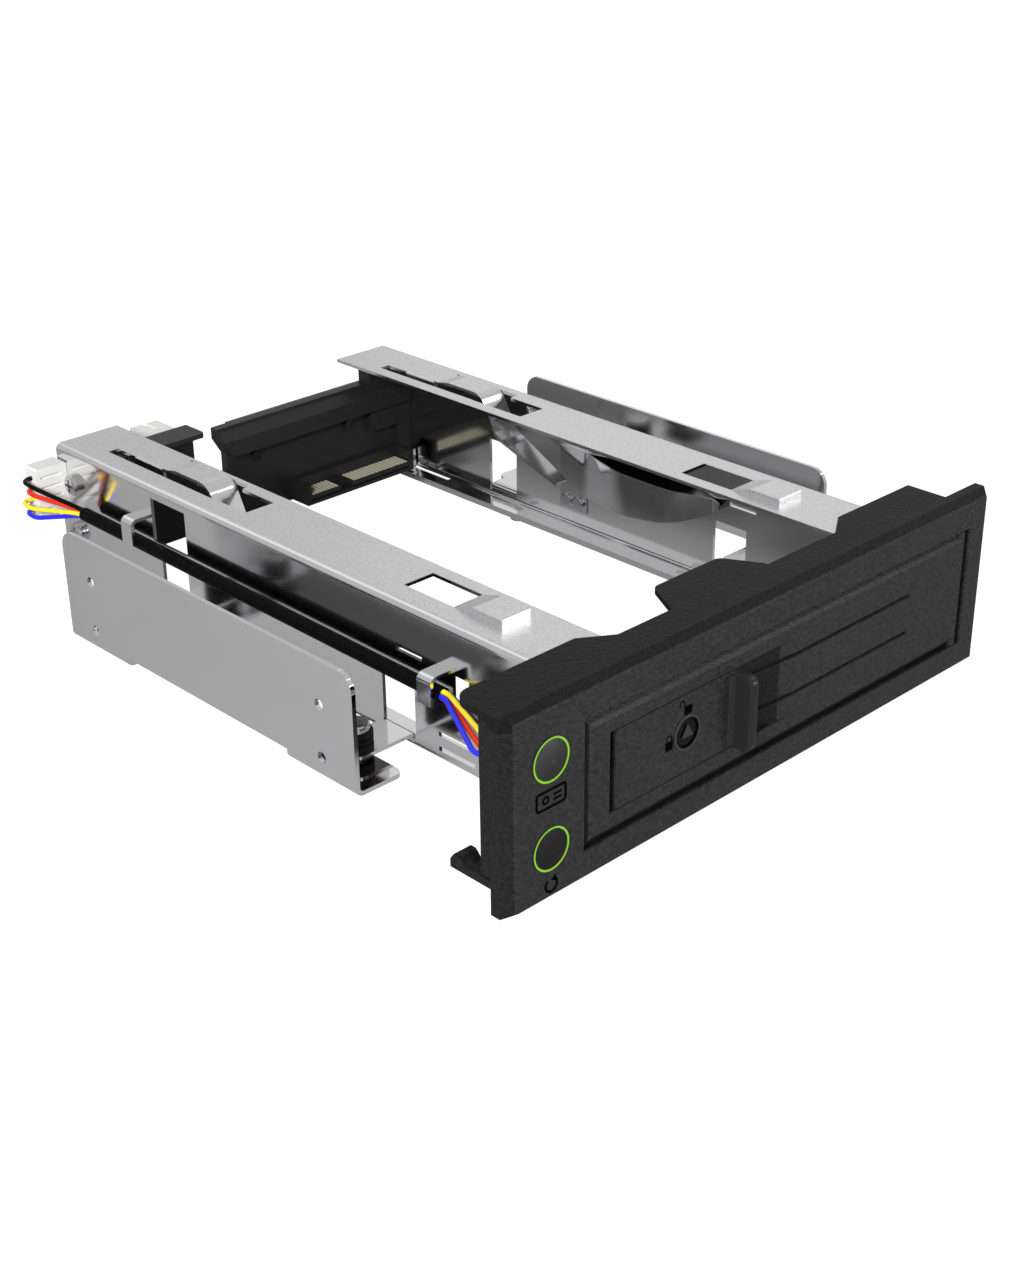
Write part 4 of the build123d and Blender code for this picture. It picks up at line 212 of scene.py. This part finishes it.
def moulded(name, tones, grain, depth, rough, gloss, painted_shade_share=1.0, proud=FAR_FRONT):
    """Moulded plastic with leathery grain and pits painted darker as shade. Behind the front face its
    colour keeps only a share, as painted shade, and that share is larger at the bezel's ends. Where it
    stands proud of a place it is smooth and shinier."""
    stretch = (0.75, 1.0, 1.25)
    pit_level, pit_contrast, cloud_size, cloud_share = 0.36, 2.6, 16.0, 0.2
    end_lift, shine, unevenness = 0.27, 0.22, 0.12
    made = Finish(name, Specular_IOR_Level=gloss)
    place = made.place()
    x, y, z = made.axes(place)
    hide = made.noise(made.stretched(place, stretch), grain, detail=1.5)
    cloud = made.noise(place, cloud_size)
    # Painted shade: behind the front face the colour keeps only a share, and the bezel's end faces below
    # its top get less of it.
    end_face = (abs(x) > BEZEL_END * MM) * (z < BEZEL_TOP * MM) * end_lift
    painted_shade = (y > from_middle(FACE_EDGE)) * (1.0 - painted_shade_share - end_face)
    raised = y < from_middle(proud)
    even = 1.0 - raised
    # The grain's pits are painted darker as shade in its hollows; the cloud adds tone that differs at
    # random.
    shade = ((hide - pit_level) * pit_contrast * even + cloud * cloud_share).limited()
    made.set("Base Color", made.mix(painted_shade, made.mix(shade, *tones), BLACK))
    made.set("Roughness", rough - raised * shine + (hide - 0.5) * unevenness)
    made.bump(hide * even, depth)
    return made.material


def rolled_steel(name, wall_rough, top_rough=0.34, top=FAR_ABOVE):
    """Plated sheet: mirror-like walls, and a sanded, gritty top face above a height, its brightest
    grains a painted glint.
    """
    cloud_share, grit_contrast, unevenness = 0.6, 3.0, 0.02
    low_share, dull_share, glint_share = 0.96, 0.84, 1.09
    made = Finish(name, Metallic=1.0)
    place = made.place()
    sanded = made.axes(place)[2] > top * MM
    speck = made.noise(place, size=0.45, roughness=0.7)
    cloud = made.noise(place, size=22.0)
    shares = (low_share, dull_share, glint_share)
    low, dull, glint = (tuple(c * share for c in STEEL) for share in shares)
    shade = (cloud * cloud_share + speck * (1.0 - cloud_share)).limited()
    # The grains differ in tone from dull to bright; the brightest, where the grit stands highest, are a
    # painted glint.
    grit = ((speck - 0.5) * grit_contrast + 0.5).limited()
    made.set("Base Color", made.mix(sanded, made.mix(shade, low, STEEL), made.mix(grit, dull, glint)))
    made.set("Roughness", wall_rough + sanded * (top_rough - wall_rough) + (cloud - 0.5) * unevenness)
    made.bump(speck * sanded, depth=0.02)
    return made.material


def worn(name, tones, level, span, size, detail=2.0, relief=None, centre=0.0, **constants):
    """A plain finish. One noise of a given size mixes two tones and adds its height over a centre, times
    a span, to the roughness level. A second noise, of a size and depth, gives the relief."""
    made = Finish(name, **constants)
    place = made.place()
    wear = made.noise(place, size, detail)
    made.set("Base Color", made.mix(wear, *tones))
    made.rough(level, wear - centre, span)
    if relief:
        relief_size, depth = relief
        made.bump(made.noise(place, relief_size), depth)
    return made.material


def dimmed(colour):
    """A colour's two tones, the first a little darker."""
    return tuple(c * 0.85 for c in colour), colour


def bright_steel(name, colour=FASTENER, rough=0.22):
    """Plated fasteners and springs."""
    return worn(name, dimmed(colour), level=rough, span=0.2, size=1.2, detail=3.0, relief=(0.3, 0.004),
                centre=0.5, Metallic=1.0)


def wire_cover(name, colour, gloss=0.5):
    """A wire's plastic cover."""
    return worn(name, dimmed(colour), level=0.33, span=0.1, size=3.0, relief=(0.5, 0.004),
                centre=0.5, Specular_IOR_Level=gloss)


def gilt(name):
    """Pale gilded contacts with slight wear."""
    return worn(name, GILT, level=0.35, span=0.1, size=0.6, Metallic=0.35)


def nylon(name):
    """White plugs and headers."""
    return worn(name, NYLON, level=0.38, span=0.1, size=4.0, relief=(0.6, 0.006), Specular_IOR_Level=0.5)


def ribbed(name):
    """The corrugated black sleeve, ribbed across its length, painted darker as shade in the troughs
    between ribs.
    """
    pitch = 0.65
    made = Finish(name, Specular_IOR_Level=0.04)
    along = made.axes(made.place())[1]
    ribs = (along * (2.0 * math.pi / (pitch * MM))).sine() * 0.5 + 0.5
    # Painted shade: darker in the troughs between the ribs, lighter on their crests.
    made.set("Base Color", made.mix(ribs, *SLEEVE))
    made.rough(level=0.5, pattern=ribs, span=-0.12)
    made.bump(ribs, depth=0.07)
    return made.material


def keyed(name):
    """The lock plug: a recess painted near black as shade, with a ring and pointer standing out of it
    painted lighter as sheen.
    """
    made = Finish(name, Specular_IOR_Level=0.12)
    place = made.place()
    painted_shade_recess = made.axes(place)[1] > from_middle(PLUG_DEPTH)
    wear = made.noise(place, size=0.5)
    # Painted shade in the recess behind the plug's face, painted sheen on what stands out of it.
    made.set("Base Color", made.mix(painted_shade_recess, PLUG_FACE_SHEEN, PLUG_RECESS_SHADE))
    made.rough(level=0.28, pattern=wear, span=0.1)
    made.bump(wear, depth=0.004)
    return made.material


def domed(name, height, light, gloss):
    """A button's satin cap with painted light: paler towards its upper left, darker towards its lower
    right.
    """
    rise, lean, middle = 75.0, 60.0, 0.42
    made = Finish(name, Specular_IOR_Level=gloss)
    place = made.place()
    x, _, z = made.axes(place)
    # Painted light and shade: lit towards the upper left, shaded towards the lower right.
    across = (z - height * MM) * rise - (x - BUTTON_X * MM) * lean
    grain = made.noise(place, size=0.4)
    made.set("Base Color", made.mix((across + middle).limited(), CAP_SHADED, (light, light, light)))
    made.rough(level=0.42, pattern=grain - 0.5, span=0.1)
    made.bump(grain, depth=0.008)
    return made.material


def lit_ring(name, height):
    """The clear ring with green light behind it, dark at its outer rim."""
    made = Finish(name, Roughness=0.3)
    place = made.place()
    x, _, z = made.axes(place)
    radius = ((x - BUTTON_X * MM) ** 2.0 + (z - height * MM) ** 2.0) ** 0.5
    rim = radius > LIT_RADIUS * MM
    cloud = made.noise(place, size=1.5)
    made.set("Base Color", made.mix(rim, made.mix(cloud, *RING), RING_RIM))
    made.set("Emission Color", made.mix(rim, made.mix(cloud, *RING_LIGHT), BLACK))
    made.set("Emission Strength", 0.6)
    return made.material


def board(name):
    """Green circuit board with faint tracks under the mask."""
    track_level, patch_level = 0.72, 0.5
    made = Finish(name, Coat_Weight=0.2)
    place = made.place()
    bands = {"wave_type": "BANDS", "bands_direction": "Z"}
    tracks = made.add("ShaderNodeTexWave", bands, {
        "Vector": place, "Scale": 260.0, "Distortion": 2.0, "Detail": 0.0})
    patch = made.noise(place, size=6.0, detail=0.0)
    line = ((tracks > track_level) * (patch > patch_level)).limited()
    made.set("Base Color", made.mix(line, *BOARD))
    made.rough(level=0.35, pattern=patch, span=0.1)
    made.bump(line, depth=0.02)
    return made.material


# Behind the front face the charcoal keeps 0.30 of its colour, as painted shade.
charcoal = moulded("charcoal grain", CHARCOAL, grain=0.8, depth=0.17, rough=0.46, gloss=0.12,
                   painted_shade_share=0.30, proud=PROUD_OF_FACE)
satin_black = moulded("satin black", SATIN, grain=0.5, depth=0.01, rough=0.34, gloss=0.3)
rail_steel = rolled_steel("rail steel", wall_rough=0.12, top=RAIL_TOP - BEND_SHARE)
sheet = rolled_steel("plate steel", wall_rough=0.08)
spring = bright_steel("spring steel", SPRING, rough=0.07)
plated = bright_steel("plated steel")
soft = worn("damper rubber", RUBBER, level=0.6, span=0.2, size=2.0, detail=4.0, relief=(0.25, 0.01),
            Specular_IOR_Level=0.3)
FINISHES = {
    "bezel_frame": charcoal, "door_panel": charcoal, "latch_lever": charcoal,
    "lock_cylinder": keyed("lock black"),
    # The lower cap's lit tone is darker than the upper cap's: painted shade, as the lower button gets
    # less light.
    "upper_button": domed("upper cap", UPPER_BUTTON_Z, light=0.036, gloss=0.25),
    "lower_button": domed("lower cap", LOWER_BUTTON_Z, light=0.015, gloss=0.1),
    "upper_light_ring": lit_ring("green light", UPPER_BUTTON_Z),
    "lower_light_ring": lit_ring("green light lower", LOWER_BUTTON_Z),
    "button_board": board("button board"), "backplane_board": board("main board"),
    "button_switches": satin_black, "rear_bracket": satin_black, "drive_receptacle": satin_black,
    "rear_data_port": satin_black, "rear_power_port": satin_black,
    "receptacle_contacts": gilt("receptacle gilt"), "port_contacts": gilt("port gilt"),
    "cable_header_pins": gilt("header gilt"), "harness_header_pins": gilt("plug gilt"),
    "rear_cable_header": nylon("header nylon"), "harness_header": nylon("side header nylon"),
    "harness_connector": nylon("plug nylon"), "harness_sleeve": ribbed("ribbed sleeve"),
    "wire_black": wire_cover("black wire", (0.003, 0.003, 0.003), gloss=0.12),
    "wire_red": wire_cover("red wire", (0.78, 0.025, 0.01)),
    "wire_yellow": wire_cover("yellow wire", (0.95, 0.74, 0.02)),
    "wire_blue": wire_cover("blue wire", (0.02, 0.02, 0.78)),
    "left_channel": rail_steel, "right_channel": rail_steel,
    "left_mount_bracket": sheet, "right_mount_bracket": sheet, "ejector_slider": sheet,
    "left_side_spring": spring, "right_side_spring": spring,
    "damper_grommets": soft, "door_bumpers": soft,
}
for name, piece in nodes.items():
    piece.data.materials.clear()
    piece.data.materials.append(FINISHES.get(name, plated))


# Printed marks, in millimetres. A strip is a row of point pairs (X, Z) across the face.

MARK_PROUD, MARK_SUNK = 0.03, 0.01
SHACKLE_RADIUS, SHACKLE_STROKE = 0.68, 0.3
MARK_INK = worn("mark ink", INK, level=0.8, span=0.15, size=0.4, detail=3.0, Specular_IOR_Level=0.02)


def strip_mark(name, body, strips):
    """A thin printed mark. Each strip gives two layers of points, with X and Z from its pairs and Y a
    little in front of the face or behind it. Quads join each pair to the next in both layers, and the
    layers to each other. A strip whose last pair repeats its first closes on itself."""
    verts, faces = [], []
    for strip in strips:
        pairs = np.asarray(strip, float)
        closed = np.allclose(pairs[0], pairs[-1])
        pairs = pairs[:-1] if closed else pairs
        count = len(pairs)
        base = len(verts)
        flat = pairs.reshape(-1, 2)
        for depth in (FACE - MARK_PROUD, FACE + MARK_SUNK):
            spot = np.stack([flat[:, 0], np.full(len(flat), depth - MIDDLE), flat[:, 1]], 1) * MM
            verts.extend(map(tuple, spot))
        steps = np.arange(count if closed else count - 1)
        left, right = 2 * steps, 2 * steps + 1
        next_left, next_right = 2 * ((steps + 1) % count), 2 * ((steps + 1) % count) + 1
        back = 2 * count
        quads = [np.stack(q, 1) for q in (
            (left, next_left, next_right, right),
            (left + back, right + back, next_right + back, next_left + back),
            (left, left + back, next_left + back, next_left),
            (right, next_right, next_right + back, right + back))]
        if not closed:
            end = 2 * (count - 1)
            quads.append(np.array([(0, 1, 1 + back, back), (end + 1, end, end + back, end + 1 + back)]))
        faces.extend(map(tuple, np.concatenate(quads) + base))
    mesh = bpy.data.meshes.new(name)
    mesh.from_pydata(verts, [], faces)
    mesh.validate()
    form = bmesh.new()
    form.from_mesh(mesh)
    bmesh.ops.recalc_face_normals(form, faces=form.faces)
    form.to_mesh(mesh)
    form.free()
    mesh.materials.append(MARK_INK)
    mark = bpy.data.objects.new(name, mesh)
    bpy.context.scene.collection.objects.link(mark)
    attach(mark, body)
    return mark


def arc_pairs(centre, radius, angles, width):
    """Point pairs half a width inside and outside a radius, on rays at the given angles in radians."""
    ray = np.stack([np.cos(angles), np.sin(angles)], 1)
    centre = np.asarray(centre)
    return np.stack([centre + ray * (radius - width / 2), centre + ray * (radius + width / 2)], 1)


def arc(centre, radius, start, end, width):
    """Point pairs along an arc, with angles in degrees from +X towards +Z."""
    steps = 24
    return arc_pairs(centre, radius, np.radians(np.linspace(start, end, steps)), width)


def block(low, high):
    """The point pairs of a filled rectangle."""
    return [((low[0], low[1]), (low[0], high[1])), ((high[0], low[1]), (high[0], high[1]))]


def frame_mark(centre, half, corner, width):
    """The point pairs of a rounded rectangle's outline: a quarter arc at each corner, joined up."""
    steps = 6
    turns = np.radians(np.linspace(0, 90, steps))
    corners = []
    for quarter, (side_x, side_z) in enumerate(((1, 1), (-1, 1), (-1, -1), (1, -1))):
        hub = (centre[0] + side_x * (half[0] - corner), centre[1] + side_z * (half[1] - corner))
        corners.append(arc_pairs(hub, corner, turns + quarter * math.pi / 2, width))
    outline = np.concatenate(corners)
    return np.concatenate([outline, outline[:1]])


def padlock(low, high, shackle, feet):
    """A padlock: a filled body, a half round shackle about a centre, and its legs down to their feet."""
    x, z = shackle
    half = SHACKLE_STROKE / 2
    legs = [block((x + side * SHACKLE_RADIUS - half, foot), (x + side * SHACKLE_RADIUS + half, z))
            for side, foot in zip((-1, 1), feet)]
    return [block(low, high), arc(shackle, SHACKLE_RADIUS, 0, 180, SHACKLE_STROKE), *legs]


def drive_outline(centre):
    """A drive seen from above: a rounded outline, a ring and two lines."""
    x, z = centre
    half, corner, stroke = (3.7, 1.8), 0.6, 0.6
    ring_left, ring_radius, ring_stroke = 1.4, 0.7, 0.5
    line_start, line_end, line_rise, line_half = 0.5, 2.6, 0.5, 0.25
    lines = [block((x + line_start, z + side * line_rise - line_half),
                   (x + line_end, z + side * line_rise + line_half)) for side in (1, -1)]
    ring = arc((x - ring_left, z), ring_radius, 0, 360, ring_stroke)
    return [frame_mark(centre, half, corner, stroke), ring, *lines]


def round_arrow(centre):
    """An open ring with an arrowhead at its end."""
    x, z = centre
    radius, stroke, start, end = 1.5, 0.6, -230, 55
    tip, root, rise, tip_half, root_half = -0.15, 1.25, 1.1, 0.03, 0.8
    head = [((x + place, z + rise - half), (x + place, z + rise + half))
            for place, half in ((tip, tip_half), (root, root_half))]
    return [arc(centre, radius, start, end, stroke), head]


strip_mark("drive_mark", "cage", drive_outline((BUTTON_X, 22.5)))
strip_mark("restart_mark", "cage", round_arrow((BUTTON_X, 3.85)))
strip_mark("locked_mark", "lever", padlock(
    low=(-32.6, 19.1), high=(-30.5, 21.1), shackle=(-31.55, 21.65), feet=(21.1, 21.1)))
strip_mark("unlocked_mark", "lever", padlock(
    low=(-27.4, 25.15), high=(-25.1, 27.0), shackle=(-28.0, 27.75), feet=(27.3, 27.0)))


# Camera, fitted to the photograph. Angles are in degrees, the place in millimetres, the rest in pixels.

AZIMUTH, ELEVATION, ROLL = -43.97846, 26.9653, -0.60486
CAMERA_AT = (-275.34855, -214.95115, 205.20682)
FOCAL, CENTRE_X, CENTRE_Y = 1941.19983, 512.90972, 644.87196
PHOTO_WIDTH, PHOTO_HEIGHT = 1024.0, 1280.0
SENSOR = 36.0


def fitted_camera():
    """A camera with its axes from azimuth, elevation and roll, and its lens from the focal length."""
    a, e, r = (math.radians(v) for v in (AZIMUTH, ELEVATION, ROLL))
    back = Vector((math.sin(a) * math.cos(e), -math.cos(a) * math.cos(e), math.sin(e)))
    forward = -back
    right = forward.cross(Vector((0, 0, 1))).normalized()
    up = right.cross(forward)
    turned_right = right * math.cos(r) + up * math.sin(r)
    turned_up = up * math.cos(r) - right * math.sin(r)
    data = bpy.data.cameras.new("camera")
    data.sensor_width = SENSOR
    data.lens = FOCAL * SENSOR / PHOTO_HEIGHT
    data.shift_x = (PHOTO_WIDTH / 2 - CENTRE_X) / PHOTO_HEIGHT
    data.shift_y = (CENTRE_Y - PHOTO_HEIGHT / 2) / PHOTO_HEIGHT
    data.clip_start = 0.01
    camera = bpy.data.objects.new("camera", data)
    bpy.context.scene.collection.objects.link(camera)
    turn = Matrix((turned_right, turned_up, back)).transposed().to_4x4()
    camera.matrix_world = Matrix.Translation(at(*CAMERA_AT)) @ turn
    bpy.context.scene.camera = camera


# Each lamp's name, place, target and size in metres, power in watts, and whether shiny faces mirror it
LAMPS = (
    ("key", (-0.8, -0.55, 0.55), (0.0, -0.05, 0.0), 0.3, 19.0, False),
    ("front", (0.5, -0.85, 0.16), (0.0, -0.08, 0.02), 0.35, 4.0, True),
    ("bend", (-0.09, 0.70, 0.84), (0.0, 0.0, 0.0), 0.6, 0.42, True),
    ("curl", (0.69, -0.44, 0.72), (0.0, 0.0, 0.0), 0.3, 0.9, True),
    ("rim", (0.88, 0.58, 0.55), (0.0, 0.0, 0.0), 0.7, 0.3, True),
)
FLOOR_HALF, FLOOR_DROP = 3.0, 0.0002


def soft_lamp(name, place, target, size, power, mirrored):
    """A square area lamp that faces a point."""
    data = bpy.data.lights.new(name, "AREA")
    data.size = size
    data.energy = power
    lamp = bpy.data.objects.new(name, data)
    bpy.context.scene.collection.objects.link(lamp)
    lamp.location = place
    lamp.visible_glossy = mirrored
    lamp.rotation_euler = (Vector(target) - Vector(place)).to_track_quat("-Z", "Y").to_euler()


def light_world(scene):
    """A world that is white to the camera, grey in mirror rays and dim as fill."""
    scene.world = bpy.data.worlds.new("studio")
    scene.world.use_nodes = True
    tree = scene.world.node_tree
    background = tree.nodes["Background"]
    path = tree.nodes.new("ShaderNodeLightPath")
    unseen = tree.nodes.new("ShaderNodeMix")
    seen = tree.nodes.new("ShaderNodeMix")
    unseen.data_type = seen.data_type = "RGBA"
    unseen.inputs[MIX_FIRST].default_value = colour4(WORLD_FILL)
    unseen.inputs[MIX_SECOND].default_value = colour4(WORLD_MIRRORED)
    seen.inputs[MIX_SECOND].default_value = colour4(WHITE)
    tree.links.new(path.outputs["Is Glossy Ray"], unseen.inputs[MIX_SHARE])
    tree.links.new(unseen.outputs[MIX_RESULT], seen.inputs[MIX_FIRST])
    tree.links.new(path.outputs["Is Camera Ray"], seen.inputs[MIX_SHARE])
    tree.links.new(seen.outputs[MIX_RESULT], background.inputs["Color"])
    background.inputs["Strength"].default_value = 1.0


def lay_floor(scene):
    """A plain floor that is white to the camera and grey to every other ray."""
    floor = bpy.data.meshes.new("floor")
    sides = ((-1, -1), (1, -1), (1, 1), (-1, 1))
    corners = [(x * FLOOR_HALF, y * FLOOR_HALF, -FLOOR_DROP) for x, y in sides]
    floor.from_pydata(corners, [], [(0, 1, 2, 3)])
    ground = bpy.data.objects.new("floor", floor)
    scene.collection.objects.link(ground)
    made = Finish("floor white", Roughness=0.9, Specular_IOR_Level=0.0)
    path = made.tree.nodes.new("ShaderNodeLightPath")
    mirrored = Value(made, path.outputs["Is Glossy Ray"])
    made.set("Base Color", made.mix(mirrored, FLOOR_FILL, FLOOR_MIRRORED))
    made.set("Emission Color", colour4(WHITE))
    made.set("Emission Strength", Value(made, path.outputs["Is Camera Ray"]))
    ground.data.materials.append(made.material)


def studio():
    """The world, the lamps and the floor."""
    scene = bpy.context.scene
    scene.view_settings.view_transform = "Standard"
    light_world(scene)
    for lamp in LAMPS:
        soft_lamp(*lamp)
    lay_floor(scene)


fitted_camera()
studio()
